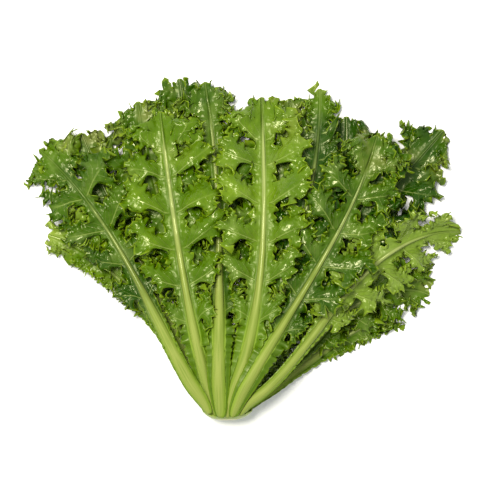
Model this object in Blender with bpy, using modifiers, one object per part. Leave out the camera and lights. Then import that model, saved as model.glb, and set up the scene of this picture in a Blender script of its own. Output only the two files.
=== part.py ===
"""A cut bunch of curly leafy greens, lying flat and fanned out on a table.

Metres, +Z up, the table at z = 0. The cut end points to -Y and the leaf tips to +Y.
Every leaf is one thin sheet with a rib, narrow margins along its stalk, pairs of
ragged lobes and an end lobe. The leaves are laid down one at a time, and each one
sags onto those below it.
"""

import math
from dataclasses import dataclass

import bmesh
import bpy
import numpy as np

# Lengths below are millimetres and become metres when a mesh is written
MM = 0.001

# The cut end: its profile is (distance from the cut, radius)
CROWN_X = -15.5
CROWN_Z = 18.6
CROWN_PROFILE = ((0.0, 8.0), (1.0, 11.5), (4.0, 17.5), (7.5, 20.7), (11.6, 22.0))
CROWN_FLATTENED = 0.84
CROWN_SEGMENTS = 28
MERGED = 0.0001
CUT_END_Y = -150.0
ROOT_Y = -138.0

# The rib and the narrow margins beside it. Shares are of the leaf's length
BLADE = 0.95
RIB_HALF_ROOT = 5.0
RIB_HALF_TIP = 1.3
RIB_NARROWING = 1.3
RIDGE_ROOT = 5.6
RIDGE_TIP = 0.9
RIDGE_SHOULDER = 0.52
RIDGE_INSIDE = 0.12
MARGIN_ROOT = 1.9
MARGIN_BLADE = 5.5
MARGIN_GROWS = (-0.11, 0.19)
TAPER = 0.62
TAPER_SHARE = 0.09
STALK_ROWS = (0.0, 0.06, 0.13, 0.2)
LONG_STALK_ROWS = (0.29, 0.38, 0.47)
STALK_CLEAR = 0.02

# The lobes. A lobe's outline is wider at its outer end than at its neck. The shares
# over which the margins and the lobes grow are counted from the end of the bare stalk
LOBES_TO = 0.86
LOBE_STEPS = (0.0, 0.34, 0.67, 1.0)
OUTWARD_STEPS = (0.5, 1.0)
LOBE_GROWS = (-0.09, 0.33)
SMALLEST_LOBE = 0.24
FULL_LOBE = 30.0
ATTACH_SHARE = 0.5
SPREAD = (0.61, 0.865)
FORWARD = math.radians(27.0)
STRAIGHTENS = 0.25
ROUNDED = 0.2
SHIFTED = 0.09
REACH = (0.86, 1.1)

# The lobe at the tip: how wide its rows are, and how they bend
END_STEPS = (0.0, 0.36, 0.72, 1.0)
END_WIDTHS = (0.74, 0.86, 0.67, 0.29)
END_FORWARD = 7.0
END_ROUNDED = 9.0
END_RIB_NARROWS = 0.45

# Ragged edges, waves and the way a leaf is bent before it comes to rest
JAG = 4.5
RUFFLE = 8.0
RUFFLE_GROWS = 1.5
RUFFLE_VARIES = 0.4
LEAN = 0.14
LEAN_SHARE = 0.33
ARCH = 16.0
ROOT_FALLS = 0.83

# How a leaf comes to rest
CELL = 1.0
SAMPLE = 0.8
GAP = 0.55
SAG = 0.45
SAG_STEPS = 170
ROOT_STEPS = 60
CLEAR_STEPS = 40
RIB_STIFFNESS = 12.0
SMOOTHING_REACH = 3
PILE_MIN = (-220.0, -170.0)
PILE_CELLS = (440, 340)
NOTHING = -1.0e3

LOWEST_COLOUR = (0.045, 0.14, 0.008, 1.0)
TOP_COLOUR = (0.15, 0.33, 0.03, 1.0)
CROWN_COLOUR = (0.55, 0.62, 0.22, 1.0)
LEAF_ROUGHNESS = 0.4
CROWN_ROUGHNESS = 0.5


@dataclass(frozen=True)
class Leaf:
    """One leaf: where its stalk starts, how its rib runs in plan and how broad it is."""

    name: str
    root_x: float
    root_z: float
    heading: tuple[int, int, int]
    length: int
    bare: float
    widths: tuple[int, int]
    pairs: int
    back_up: bool
    seed: int


# From the lowest blade to the one on top. Headings are degrees from +Y towards +X:
# at the root, and their first and second order change along the rib. The share of the
# length that is bare stalk follows the length, and then how far the blade reaches to
# the left and right of the rib. The roots stand in four layers at the cut end, and
# there the last two leaves are tucked under the stalks of the four before them.
LEAVES = (
    Leaf("leaf_01_upper_left", -28.5, 9.0, (-23, -21, 24), 264, 0.34, (37, 37), 4, False, 1),
    Leaf("leaf_02_far_right", -1.5, 9.0, (29, 18, -5), 300, 0.25, (35, 35), 5, False, 2),
    Leaf("leaf_03_top_left", -19.5, 9.0, (-3, -16, 11), 289, 0.25, (34, 36), 5, False, 3),
    Leaf("leaf_04_top_right", -10.5, 9.0, (30, 16, -49), 277, 0.25, (34, 34), 5, False, 4),
    Leaf("leaf_05_left_low", -34.0, 16.8, (-30, 9, -52), 208, 0.48, (13, 34), 3, False, 5),
    Leaf("leaf_06_right_low", 3.0, 16.8, (60, -36, 50), 156, 0.52, (30, 13), 2, False, 6),
    Leaf("leaf_07_left_back", -24.5, 16.8, (-5, -54, 53), 275, 0.25, (34, 34), 5, False, 7),
    Leaf("leaf_08_right_side", -5.5, 16.8, (68, -134, 179), 205, 0.42, (34, 24), 3, False, 8),
    Leaf("leaf_09_right_back", -15.0, 16.8, (34, 25, -46), 273, 0.25, (34, 34), 5, False, 9),
    Leaf("leaf_10_middle_back", -19.0, 19.9, (23, -11, -15), 278, 0.25, (34, 34), 5, True, 10),
    Leaf("leaf_11_curled_tip", -3.0, 19.9, (20, 7, -28), 288, 0.25, (24, 24), 5, True, 11),
    Leaf("leaf_12_left_side", -34.0, 27.5, (-31, 26, -45), 269, 0.36, (36, 37), 4, True, 12),
    Leaf("leaf_13_right_bent", 0.5, 27.5, (56, -102, 140), 252, 0.38, (31, 31), 4, True, 13),
    Leaf("leaf_14_centre", -21.5, 28.0, (0, 5, -15), 284, 0.25, (34, 34), 5, True, 14),
    Leaf("leaf_15_right_centre", -8.0, 28.0, (28, 25, -38), 268, 0.25, (34, 35), 5, True, 15),
    Leaf("leaf_16_front_left", -26.5, 20.4, (-16, 17, -8), 261, 0.25, (38, 36), 5, True, 16),
    Leaf("leaf_17_front_right", -14.0, 20.4, (24, -54, 28), 274, 0.25, (36, 37), 5, True, 17),
)


def smooth(value: float) -> float:
    """An S-shaped rise from 0 to 1."""
    inside = min(max(value, 0.0), 1.0)
    return inside * inside * (3.0 - 2.0 * inside)


def smooth_between(value: float, ends: tuple[float, float]) -> float:
    """An S-shaped rise from 0 at the first end to 1 at the second."""
    return smooth((value - ends[0]) / (ends[1] - ends[0]))


class Rib:
    """The course of a leaf's rib in plan, as points and headings at equal steps."""

    STEPS = 240

    def __init__(self, leaf: Leaf) -> None:
        along = np.linspace(0.0, 1.0, self.STEPS + 1)
        first, second, third = leaf.heading
        self.along = along * leaf.length
        self.angle = np.radians(first + second * along + third * along**2)
        middle = 0.5 * (self.angle[1:] + self.angle[:-1])
        step = leaf.length / self.STEPS
        self.x = leaf.root_x + np.concatenate(([0.0], np.cumsum(np.sin(middle) * step)))
        self.y = ROOT_Y + np.concatenate(([0.0], np.cumsum(np.cos(middle) * step)))

    def point(self, along: float, aside: float) -> tuple[float, float]:
        """The plan position at a distance along the rib and a distance to its right."""
        inside = min(max(along, 0.0), self.along[-1])
        angle = np.interp(inside, self.along, self.angle)
        past = along - inside
        x = np.interp(inside, self.along, self.x) + past * math.sin(angle)
        y = np.interp(inside, self.along, self.y) + past * math.cos(angle)
        return x + aside * math.cos(angle), y - aside * math.sin(angle)


class Sheet:
    """The middle surface of one leaf, as a grid whose missing faces are its sinuses."""

    RIB_COLUMN = 2 + len(OUTWARD_STEPS)
    COLUMNS = 2 * RIB_COLUMN + 1

    def __init__(self, leaf: Leaf) -> None:
        self.leaf = leaf
        self.rib = Rib(leaf)
        longer = [share for share in LONG_STALK_ROWS if share < leaf.bare - STALK_CLEAR]
        self.rows = [("stalk", 0, share) for share in (*STALK_ROWS, *longer)]
        for pair in range(leaf.pairs):
            self.rows += [("lobe", pair, step) for step in LOBE_STEPS]
        self.rows += [("end", leaf.pairs, step) for step in END_STEPS]
        chance = np.random.default_rng(leaf.seed)
        self.noise = chance.uniform(-1.0, 1.0, (len(self.rows), self.COLUMNS))
        self.shift = chance.uniform(-SHIFTED, SHIFTED, (leaf.pairs + 1, 2))
        self.reach = chance.uniform(*REACH, (leaf.pairs + 1, 2))
        self.pitch = leaf.length * (LOBES_TO - leaf.bare) / leaf.pairs

    def row_along(self, row: int) -> float:
        """How far along the rib a row of the grid starts."""
        kind, pair, step = self.rows[row]
        length = self.leaf.length
        if kind == "stalk":
            return step * length
        if kind == "end":
            return (LOBES_TO + step * (1.0 - LOBES_TO)) * length
        centre = self.leaf.bare * length + (pair + 0.5) * self.pitch
        return centre + (step - 0.5) * ATTACH_SHARE * self.pitch

    @staticmethod
    def taper(share: float) -> float:
        """How much a stalk narrows towards the cut end."""
        return TAPER + (1.0 - TAPER) * smooth(share / TAPER_SHARE)

    def rib_half(self, share: float) -> float:
        """Half the width of the rib."""
        half = RIB_HALF_TIP + (RIB_HALF_ROOT - RIB_HALF_TIP) * (1.0 - share) ** RIB_NARROWING
        return half * self.taper(share)

    def margin(self, share: float) -> float:
        """The width of the blade that runs along each side of the rib."""
        grown = smooth_between(share - self.leaf.bare, MARGIN_GROWS)
        return (MARGIN_ROOT + (MARGIN_BLADE - MARGIN_ROOT) * grown) * self.taper(share)

    def lobe_length(self, share: float, pair: int, side: int) -> float:
        """How far a lobe on the left (0) or right (1) stands out from the margin."""
        grown = smooth_between(share - self.leaf.bare, LOBE_GROWS)
        grown = SMALLEST_LOBE + (1.0 - SMALLEST_LOBE) * grown
        return (self.leaf.widths[side] - MARGIN_BLADE) * grown * self.reach[pair, side]

    def place(self, row: int, column: int) -> tuple[float, float, float]:
        """The plan position of a grid point, and its height in the leaf's own shape."""
        step = self.rows[row][2]
        along = self.row_along(row)
        share = along / self.leaf.length
        away = abs(column - self.RIB_COLUMN)
        side = 1 if column > self.RIB_COLUMN else 0
        rib = self.rib_half(share)
        aside = (0.0, rib, rib + self.margin(share))[min(away, 2)]
        wave = 0.0
        if away > 2:
            along, aside, wave = self.place_on_lobe(row, column, aside)
        elif self.rows[row][0] == "end":
            aside *= 1.0 - END_RIB_NARROWS * step
        x, y = self.rib.point(along, aside if side else -aside)
        return x, max(y, ROOT_Y), self.height(along / self.leaf.length, aside) + wave

    def place_on_lobe(self, row: int, column: int, margin: float) -> tuple[float, float, float]:
        """The place along and away from the rib, and the wave, of a point on a lobe."""
        kind, pair, step = self.rows[row]
        side = 1 if column > self.RIB_COLUMN else 0
        outward = OUTWARD_STEPS[abs(column - self.RIB_COLUMN) - 3]
        noise = self.noise[row, column]
        along = self.row_along(row)
        length = self.lobe_length(along / self.leaf.length, pair, side)
        ragged = JAG * noise * min(1.0, length / FULL_LOBE)
        across = 2.0 * step - 1.0
        if kind == "end":
            aside = margin + length * END_WIDTHS[END_STEPS.index(step)] * outward
            along += END_FORWARD * outward * (1.0 - step)
            along += (ragged - END_ROUNDED * outward**2) * step
        else:
            aside = margin + length * outward * (1.0 - ROUNDED * outward * across**2)
            spread = SPREAD[OUTWARD_STEPS.index(outward)] - ATTACH_SHARE
            along += self.pitch * (self.shift[pair, side] + 0.5 * across * spread)
            forward = math.tan(FORWARD) * (1.0 - STRAIGHTENS * outward)
            along += (aside - margin) * forward
        if outward == 1.0:
            aside += ragged
        wave = RUFFLE * outward**RUFFLE_GROWS * (-1.0) ** row
        wave *= 1.0 - RUFFLE_VARIES + RUFFLE_VARIES * noise
        return along, aside, wave * min(1.0, length / FULL_LOBE)

    def height(self, share: float, aside: float) -> float:
        """The height of the leaf's own bend, which is arched when its back is up."""
        height = self.leaf.root_z * (1.0 - smooth(share / ROOT_FALLS))
        lean = LEAN * aside * smooth(share / LEAN_SHARE)
        if self.leaf.back_up:
            return height + ARCH * math.sin(math.pi * min(share, 1.0)) - lean
        return height + lean

    def thickness(self, row: int, column: int) -> tuple[float, float]:
        """How far the leaf stands above and below its middle surface."""
        share = self.row_along(row) / self.leaf.length
        ridge = RIDGE_TIP + (RIDGE_ROOT - RIDGE_TIP) * (1.0 - share)
        ridge *= 0.5 * (1.0 + self.taper(share))
        away = abs(column - self.RIB_COLUMN)
        raised = ridge * (1.0, RIDGE_SHOULDER, 0.0)[min(away, 2)]
        back = BLADE / 2.0 + raised
        face = BLADE / 2.0 + RIDGE_INSIDE * raised
        return (back, face) if self.leaf.back_up else (face, back)

    def has_face(self, row: int, column: int) -> bool:
        """Whether the cell between this grid point and the next ones is blade."""
        kind, pair, _ = self.rows[row]
        near_rib = abs(column + 0.5 - self.RIB_COLUMN) < 2.0
        return near_rib or (kind != "stalk" and self.rows[row + 1][:2] == (kind, pair))


class Pile:
    """The tops of the leaves already laid down, as a height for every cell of the table."""

    def __init__(self) -> None:
        self.top = np.full(PILE_CELLS, NOTHING)

    @staticmethod
    def cells(x: np.ndarray, y: np.ndarray) -> tuple[np.ndarray, np.ndarray]:
        """The cell under each point."""
        column = ((x - PILE_MIN[0]) / CELL).astype(int)
        row = ((y - PILE_MIN[1]) / CELL).astype(int)
        return column, row

    def floor(self, x: np.ndarray, y: np.ndarray) -> np.ndarray:
        """The lowest height that a leaf's underside may have at each point."""
        around = np.full(PILE_CELLS, NOTHING)
        for step_x in (-1, 0, 1):
            for step_y in (-1, 0, 1):
                moved = np.roll(self.top, (step_x, step_y), (0, 1))
                around = np.maximum(around, moved)
        return np.maximum(around[self.cells(x, y)] + GAP, 0.0)

    def add(self, x: np.ndarray, y: np.ndarray, z: np.ndarray) -> None:
        """Raises the pile to the given points."""
        np.maximum.at(self.top, self.cells(x, y), z)


class Drape:
    """Lets one leaf come to rest on the pile without passing through it."""

    def __init__(self, points: np.ndarray, triangles: np.ndarray, up, down, grid) -> None:
        self.points = points
        self.triangles = triangles
        self.up = up
        self.down = down
        self.grid = grid
        self.lift = np.zeros(len(points))
        self.held = grid[:, 0] < len(STALK_ROWS)
        self.sample()
        self.smoothing = self.smoothing_matrix()
        self.in_root = (grid[:, 0] <= len(STALK_ROWS))[self.corner].all(axis=1)
        self.all_held = self.held[self.corner].all(axis=1)

    def sample(self) -> None:
        """Spreads sample points evenly over every triangle."""
        owners = []
        weights = []
        for index, triangle in enumerate(self.triangles):
            corners = self.points[triangle, :2]
            edges = np.linalg.norm(corners - np.roll(corners, 1, axis=0), axis=1)
            count = max(1, math.ceil(edges.max() / SAMPLE))
            first, second = np.meshgrid(np.arange(count + 1), np.arange(count + 1))
            inside = first + second <= count
            first = first[inside] / count
            second = second[inside] / count
            weights.append(np.stack((1.0 - first - second, first, second), axis=1))
            owners.append(np.full(len(first), index))
        self.owner = np.concatenate(owners)
        self.weight = np.concatenate(weights)
        self.corner = self.triangles[self.owner]
        plan = (self.points[self.corner, :2] * self.weight[:, :, None]).sum(axis=1)
        self.x = plan[:, 0]
        self.y = plan[:, 1]

    def smoothing_matrix(self) -> np.ndarray:
        """Averages each point with its neighbours, and stiffly along the rib."""
        count = len(self.points)
        matrix = np.eye(count)
        for triangle in self.triangles:
            for start, end in zip(triangle, np.roll(triangle, 1)):
                both_rib = self.grid[start, 1] == self.grid[end, 1] == Sheet.RIB_COLUMN
                strength = RIB_STIFFNESS if both_rib else 1.0
                matrix[start, end] = strength
                matrix[end, start] = strength
        matrix /= matrix.sum(axis=1, keepdims=True)
        return np.linalg.matrix_power(matrix, SMOOTHING_REACH)

    def short(self, floor: np.ndarray) -> np.ndarray:
        """How far each sample of the underside is below the floor."""
        under = self.points[:, 2] + self.lift - self.down
        return floor - (under[self.corner] * self.weight).sum(axis=1)

    def raise_least(self, floor: np.ndarray) -> None:
        """Tilts each triangle up just clear of the floor at its worst sample."""
        short = self.short(floor)
        order = np.argsort(short, kind="stable")
        worst = np.full(len(self.triangles), -1)
        worst[self.owner[order]] = order
        worst = worst[short[worst] > 0.0]
        weight = self.weight[worst]
        push = short[worst, None] * weight / (weight**2).sum(axis=1, keepdims=True)
        raised = np.zeros(len(self.lift))
        np.maximum.at(raised, self.corner[worst], push)
        self.lift += raised

    def clear(self, floor: np.ndarray) -> None:
        """Leaves no sample of the underside below the floor."""
        for _ in range(CLEAR_STEPS):
            self.raise_least(floor)
        short = np.maximum(self.short(floor), 0.0)
        raised = np.zeros(len(self.lift))
        np.maximum.at(raised, self.corner, short[:, None])
        self.lift += raised

    def settle_root(self, pile: Pile) -> None:
        """Lifts the root clear of the roots below it."""
        floor = np.where(self.in_root, pile.floor(self.x, self.y), NOTHING)
        for _ in range(ROOT_STEPS):
            self.lift = self.smoothing @ self.lift
            self.raise_least(floor)
        self.clear(floor)
        self.stack(pile, self.in_root)

    def settle(self, pile: Pile) -> None:
        """Lets the blade sag onto the pile, from a root that stays where it is."""
        floor = np.where(self.all_held, NOTHING, pile.floor(self.x, self.y))
        root = self.lift[self.held]
        for _ in range(SAG_STEPS):
            self.lift = self.smoothing @ (self.lift - SAG)
            self.lift[self.held] = root
            self.raise_least(floor)
        self.clear(floor)
        self.stack(pile, np.full(len(self.x), True))

    def stack(self, pile: Pile, taken: np.ndarray) -> None:
        """Adds the taken samples of the upper face to the pile."""
        top = self.points[:, 2] + self.lift + self.up
        over = (top[self.corner] * self.weight).sum(axis=1)
        pile.add(self.x[taken], self.y[taken], over[taken])


def material(name: str, colour: tuple, roughness: float):
    """A plain Principled material."""
    made = bpy.data.materials.new(name)
    made.use_nodes = True
    shader = made.node_tree.nodes["Principled BSDF"]
    shader.inputs["Base Color"].default_value = colour
    shader.inputs["Roughness"].default_value = roughness
    shader.inputs["Metallic"].default_value = 0.0
    return made


def add_object(name: str, mesh_data: bmesh.types.BMesh, collection, finish) -> None:
    """Writes a bmesh as one smooth-shaded object of the collection."""
    bmesh.ops.recalc_face_normals(mesh_data, faces=mesh_data.faces)
    mesh = bpy.data.meshes.new(name)
    mesh_data.to_mesh(mesh)
    mesh_data.free()
    mesh.materials.append(finish)
    mesh.shade_smooth()
    collection.objects.link(bpy.data.objects.new(name, mesh))


def leaf_grid(sheet: Sheet) -> tuple[bmesh.types.BMesh, np.ndarray]:
    """A flat grid with the sinuses removed, and the row and column of each vertex."""
    rows = len(sheet.rows)
    grid = bmesh.new()
    bmesh.ops.create_grid(grid, x_segments=Sheet.COLUMNS - 1, y_segments=rows - 1, size=1.0)
    places = {
        vert: (
            round((vert.co.y + 1.0) / 2.0 * (rows - 1)),
            round((vert.co.x + 1.0) / 2.0 * (Sheet.COLUMNS - 1)),
        )
        for vert in grid.verts
    }
    gaps = []
    for face in grid.faces:
        corners = [places[vert] for vert in face.verts]
        if not sheet.has_face(*min(corners)):
            gaps.append(face)
    bmesh.ops.delete(grid, geom=gaps, context="FACES")
    grid.verts.ensure_lookup_table()
    return grid, np.array([places[vert] for vert in grid.verts])


class Body:
    """One leaf on its way from a flat grid to a solid."""

    def __init__(self, leaf: Leaf) -> None:
        self.leaf = leaf
        sheet = Sheet(leaf)
        self.mesh, grid = leaf_grid(sheet)
        self.shape = np.array([sheet.place(row, column) for row, column in grid])
        for vert, place in zip(self.mesh.verts, self.shape):
            vert.co = place
        bmesh.ops.triangulate(self.mesh, faces=self.mesh.faces, quad_method="SHORT_EDGE")
        self.mesh.verts.index_update()
        triangles = np.array([[vert.index for vert in face.verts] for face in self.mesh.faces])
        self.up, self.down = np.array([sheet.thickness(row, column) for row, column in grid]).T
        self.drape = Drape(self.shape, triangles, self.up, self.down, grid)

    def colour(self) -> tuple:
        """Lower leaves are a darker green than those on top."""
        share = LEAVES.index(self.leaf) / (len(LEAVES) - 1)
        pairs = zip(LOWEST_COLOUR, TOP_COLOUR)
        return tuple(low + (high - low) * share for low, high in pairs)

    def thicken(self, collection) -> None:
        """Gives the leaf its thickness and adds it to the collection."""
        heights = self.shape[:, 2] + self.drape.lift
        lower = list(self.mesh.verts)
        order = {tuple(vert.co): index for index, vert in enumerate(lower)}
        grown = bmesh.ops.extrude_face_region(self.mesh, geom=self.mesh.faces[:])
        upper = [item for item in grown["geom"] if isinstance(item, bmesh.types.BMVert)]
        plan = self.shape[:, :2] * MM
        for vert in upper:
            index = order[tuple(vert.co)]
            vert.co = (*plan[index], (heights[index] + self.up[index]) * MM)
        for index, vert in enumerate(lower):
            vert.co = (*plan[index], (heights[index] - self.down[index]) * MM)
        finish = material(self.leaf.name, self.colour(), LEAF_ROUGHNESS)
        add_object(self.leaf.name, self.mesh, collection, finish)


def build_crown(collection) -> None:
    """The short cut end that the stalks grow from, a profile turned about its Y axis."""
    outline = [(0.0, CROWN_PROFILE[-1][0])]
    outline += [(radius, depth) for depth, radius in reversed(CROWN_PROFILE)]
    outline += [(0.0, CROWN_PROFILE[0][0])]
    verts = [(radius * MM, depth * MM, 0.0) for radius, depth in outline]
    mesh = bpy.data.meshes.new("crown")
    mesh.from_pydata(verts, [(index, index + 1) for index in range(len(verts) - 1)], [])
    mesh.materials.append(material("crown", CROWN_COLOUR, CROWN_ROUGHNESS))
    crown = bpy.data.objects.new("crown", mesh)
    crown.location = (CROWN_X * MM, CUT_END_Y * MM, CROWN_Z * MM)
    crown.scale.z = CROWN_FLATTENED
    turned = crown.modifiers.new("Turned", "SCREW")
    turned.axis = "Y"
    turned.steps = CROWN_SEGMENTS
    turned.render_steps = CROWN_SEGMENTS
    turned.use_merge_vertices = True
    turned.merge_threshold = MERGED
    turned.use_smooth_shade = True
    collection.objects.link(crown)


def main() -> None:
    """Builds the bunch."""
    for old in list(bpy.data.objects):
        bpy.data.objects.remove(old)
    collection = bpy.data.collections.new("curly_leaf_bunch")
    bpy.context.scene.collection.children.link(collection)
    build_crown(collection)
    bodies = [Body(leaf) for leaf in LEAVES]
    roots = Pile()
    for body in sorted(bodies, key=lambda body: body.leaf.root_z):
        body.drape.settle_root(roots)
    blades = Pile()
    for body in bodies:
        body.drape.settle(blades)
        body.thicken(collection)


main()
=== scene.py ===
"""A cut bunch of curly leafy greens, fanned out flat on a pale table.

The cut end points to -Y and the leaf tips to +Y. Every leaf of the frame is replaced by
a fine leaf that follows it: the same rib and lobes, with a rounded stalk, a toothed
margin that has grown too long for its blade and so ruffles, veins and a wet gloss.

Lengths are millimetres until a mesh is written. A share is of a leaf's length, a step
runs from 0 to 1 up a lobe or a bay, and q runs from 0 at the blade's edge beside the rib
to 1 at a lobe's outer edge.
"""

import logging
import math
from dataclasses import dataclass
from enum import Enum

import bpy
import numpy as np
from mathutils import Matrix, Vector


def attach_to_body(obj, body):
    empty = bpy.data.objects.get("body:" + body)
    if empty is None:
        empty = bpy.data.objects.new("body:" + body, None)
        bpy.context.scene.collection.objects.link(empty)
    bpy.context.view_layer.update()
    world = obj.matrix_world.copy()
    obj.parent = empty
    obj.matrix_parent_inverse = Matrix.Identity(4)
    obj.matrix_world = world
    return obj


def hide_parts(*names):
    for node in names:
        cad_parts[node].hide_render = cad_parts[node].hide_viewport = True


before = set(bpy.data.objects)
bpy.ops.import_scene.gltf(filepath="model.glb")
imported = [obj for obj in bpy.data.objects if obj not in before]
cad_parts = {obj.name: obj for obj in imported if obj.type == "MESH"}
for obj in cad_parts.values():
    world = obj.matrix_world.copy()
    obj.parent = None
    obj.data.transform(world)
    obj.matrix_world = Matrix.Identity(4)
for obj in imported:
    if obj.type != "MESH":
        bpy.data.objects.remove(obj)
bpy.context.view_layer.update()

MM = 0.001
NOWHERE = 1.0e3
TINY = 1.0e-9

Pair = tuple[float, float]
Cell = tuple[int, int]
Colour = tuple[float, float, float, float]
Places = tuple[np.ndarray, np.ndarray, np.ndarray]
Link = tuple[tuple[slice, slice], tuple[slice, slice], np.ndarray]

log = logging.getLogger("greens")


class Facing(Enum):
    """Which side of a leaf shows from above."""

    BACK = 1.0
    FRONT = -1.0


class Region(Enum):
    """The stretches that a leaf's rib passes through from the cut end to the tip."""

    STALK = 0
    LOBE = 1
    SINUS = 2
    END = 3


UP_STALK = (0.0, 0.16, 0.35, 0.62, 1.0)


class StalkSide(Enum):
    """How wide and how ruffled the blade beside a stalk is, at the places of UP_STALK."""

    BARE = ((0.4, 0.6, 0.9, 1.3, 2.6), (0.0, 0.04, 0.08, 0.12, 0.35))
    CLEAN = ((1.6, 2.8, 4.0, 5.5, 8.0), (0.0, 0.04, 0.08, 0.35, 1.3))
    CURLY = ((0.4, 1.2, 6.0, 9.0, 9.0), (0.0, 0.08, 0.95, 1.35, 1.35))


@dataclass(frozen=True)
class LeafPlan:
    """How one leaf runs and how it is dressed.

    Args:
        name: the frame's node, which the fine leaf replaces.
        root_x: where the stalk starts.
        heading: degrees from +Y to +X at the root, and their change along the rib.
        length: length of the rib.
        bare: the share of the length that is bare stalk.
        widths: reach to the left and to the right of the rib.
        pairs: pairs of side lobes.
        facing: the side that shows.
        seed: of the leaf's own chance.
        tone: 0 for the darkest green of the bunch and 1 for the lightest.
        calm: 1 for broad smooth lobes and 0 for lobes that ruffle all over.
        pale: how pale the rib is.
        stalk: how much of the frame's width the stalk keeps.
        rib: how much of it the rib keeps, above the stalk.
        tips: how much of it the tip keeps, to the left and to the right.
        light: how much lighter the tip is than the rest.
    """

    name: str
    root_x: float
    heading: tuple[int, int, int]
    length: int
    bare: float
    widths: tuple[int, int]
    pairs: int
    facing: Facing
    seed: int
    tone: float
    calm: float
    pale: float
    stalk: float = 0.72
    rib: float = 1.0
    tips: Pair = (1.0, 1.0)
    light: float = 0.0


B, F = Facing.BACK, Facing.FRONT
PLANS = (
    LeafPlan("leaf_01_upper_left", -28.5, (-23, -21, 24), 264, 0.34, (37, 37), 4, F, 1, 0.15, 0.1, 0.5),
    LeafPlan("leaf_02_far_right", -1.5, (29, 18, -5), 300, 0.25, (35, 35), 5, F, 2, -0.05, 0.15, 0.4,
             tips=(0.9, 0.6), light=0.2),
    LeafPlan("leaf_03_top_left", -19.5, (-3, -16, 11), 289, 0.25, (34, 36), 5, F, 3, 0.15, 0.1, 0.5),
    LeafPlan("leaf_04_top_right", -10.5, (30, 16, -49), 277, 0.25, (34, 34), 5, F, 4, -0.35, 0.15, 0.45,
             tips=(0.8, 0.8)),
    LeafPlan("leaf_05_left_low", -34.0, (-30, 9, -52), 208, 0.48, (13, 34), 3, F, 5, 0.55, 0.1, 0.5,
             light=1.2),
    LeafPlan("leaf_06_right_low", 3.0, (60, -36, 50), 156, 0.52, (30, 13), 2, F, 6, 0.45, 0.1, 0.8,
             stalk=0.7),
    LeafPlan("leaf_07_left_back", -24.5, (-5, -54, 53), 275, 0.25, (34, 34), 5, F, 7, 0.2, 0.1, 0.5),
    LeafPlan("leaf_08_right_side", -5.5, (68, -134, 179), 205, 0.42, (34, 24), 3, F, 8, 0.4, 0.2, 0.8,
             stalk=0.68, tips=(0.65, 0.9)),
    LeafPlan("leaf_09_right_back", -15.0, (34, 25, -46), 273, 0.25, (34, 34), 5, F, 9, -0.3, 0.15, 0.45,
             tips=(1.0, 0.7)),
    LeafPlan("leaf_10_middle_back", -19.0, (23, -11, -15), 278, 0.25, (34, 34), 5, B, 10, 0.2, 0.15, 0.6),
    LeafPlan("leaf_11_curled_tip", -3.0, (20, 7, -28), 288, 0.25, (24, 24), 5, B, 11, -0.15, 0.15, 0.6,
             tips=(0.5, 0.55), light=0.7),
    LeafPlan("leaf_12_left_side", -34.0, (-31, 26, -45), 269, 0.36, (36, 37), 4, B, 12, 0.18, 0.1, 0.5,
             stalk=0.88, rib=0.7, light=0.4),
    LeafPlan("leaf_13_right_bent", 0.5, (56, -102, 140), 252, 0.38, (31, 31), 4, B, 13, 1.1, 0.45, 0.85,
             stalk=0.62, rib=0.85, tips=(0.36, 0.5)),
    LeafPlan("leaf_14_centre", -21.5, (0, 5, -15), 284, 0.25, (34, 34), 5, B, 14, 0.3, 0.15, 0.85,
             stalk=0.9, tips=(0.95, 0.55)),
    LeafPlan("leaf_15_right_centre", -8.0, (28, 25, -38), 268, 0.25, (34, 35), 5, B, 15, 0.22, 0.25, 0.75,
             rib=0.85),
    LeafPlan("leaf_16_front_left", -26.5, (-16, 17, -8), 261, 0.25, (38, 36), 5, B, 16, 0.6, 0.9, 1.0,
             stalk=0.8, tips=(0.8, 1.0)),
    LeafPlan("leaf_17_front_right", -14.0, (24, -54, 28), 274, 0.25, (36, 37), 5, B, 17, 0.72, 0.9, 1.0,
             stalk=0.84),
)


def rise(value: np.ndarray | float, low: float, high: float) -> np.ndarray:
    """An S-shaped rise from 0 at low to 1 at high."""
    inside = np.clip((value - low) / (high - low), 0.0, 1.0)
    return inside * inside * (3.0 - 2.0 * inside)


def spline(knots: np.ndarray, values: np.ndarray, at: np.ndarray) -> np.ndarray:
    """A natural cubic curve through some values.

    Args:
        knots: where the values stand, rising.
        values: one value for each knot.
        at: where the curve is read.

    Returns:
        The curve's value at each place.
    """
    gaps = np.diff(knots)
    system, known = np.eye(len(knots)), np.zeros(len(knots))
    inner = np.arange(1, len(knots) - 1)
    system[inner, inner - 1], system[inner, inner + 1] = gaps[:-1], gaps[1:]
    system[inner, inner] = 2.0 * (gaps[:-1] + gaps[1:])
    known[inner] = 6.0 * np.diff(np.diff(values) / gaps)
    bends = np.linalg.solve(system, known)
    part = np.clip(np.searchsorted(knots, at) - 1, 0, len(knots) - 2)
    left, right, gap = at - knots[part], knots[part + 1] - at, gaps[part]
    return (
        (bends[part] * right**3 + bends[part + 1] * left**3) / (6.0 * gap)
        + (values[part] / gap - bends[part] * gap / 6.0) * right
        + (values[part + 1] / gap - bends[part + 1] * gap / 6.0) * left
    )


def mesh_points(piece: bpy.types.Object) -> np.ndarray:
    """Reads the vertices of a piece's mesh as they are stored.

    Args:
        piece: the mesh object.

    Returns:
        Their places, one row each.
    """
    points = np.empty(len(piece.data.vertices) * 3, np.float32)
    piece.data.vertices.foreach_get("co", points)
    return points.reshape(-1, 3)


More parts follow.
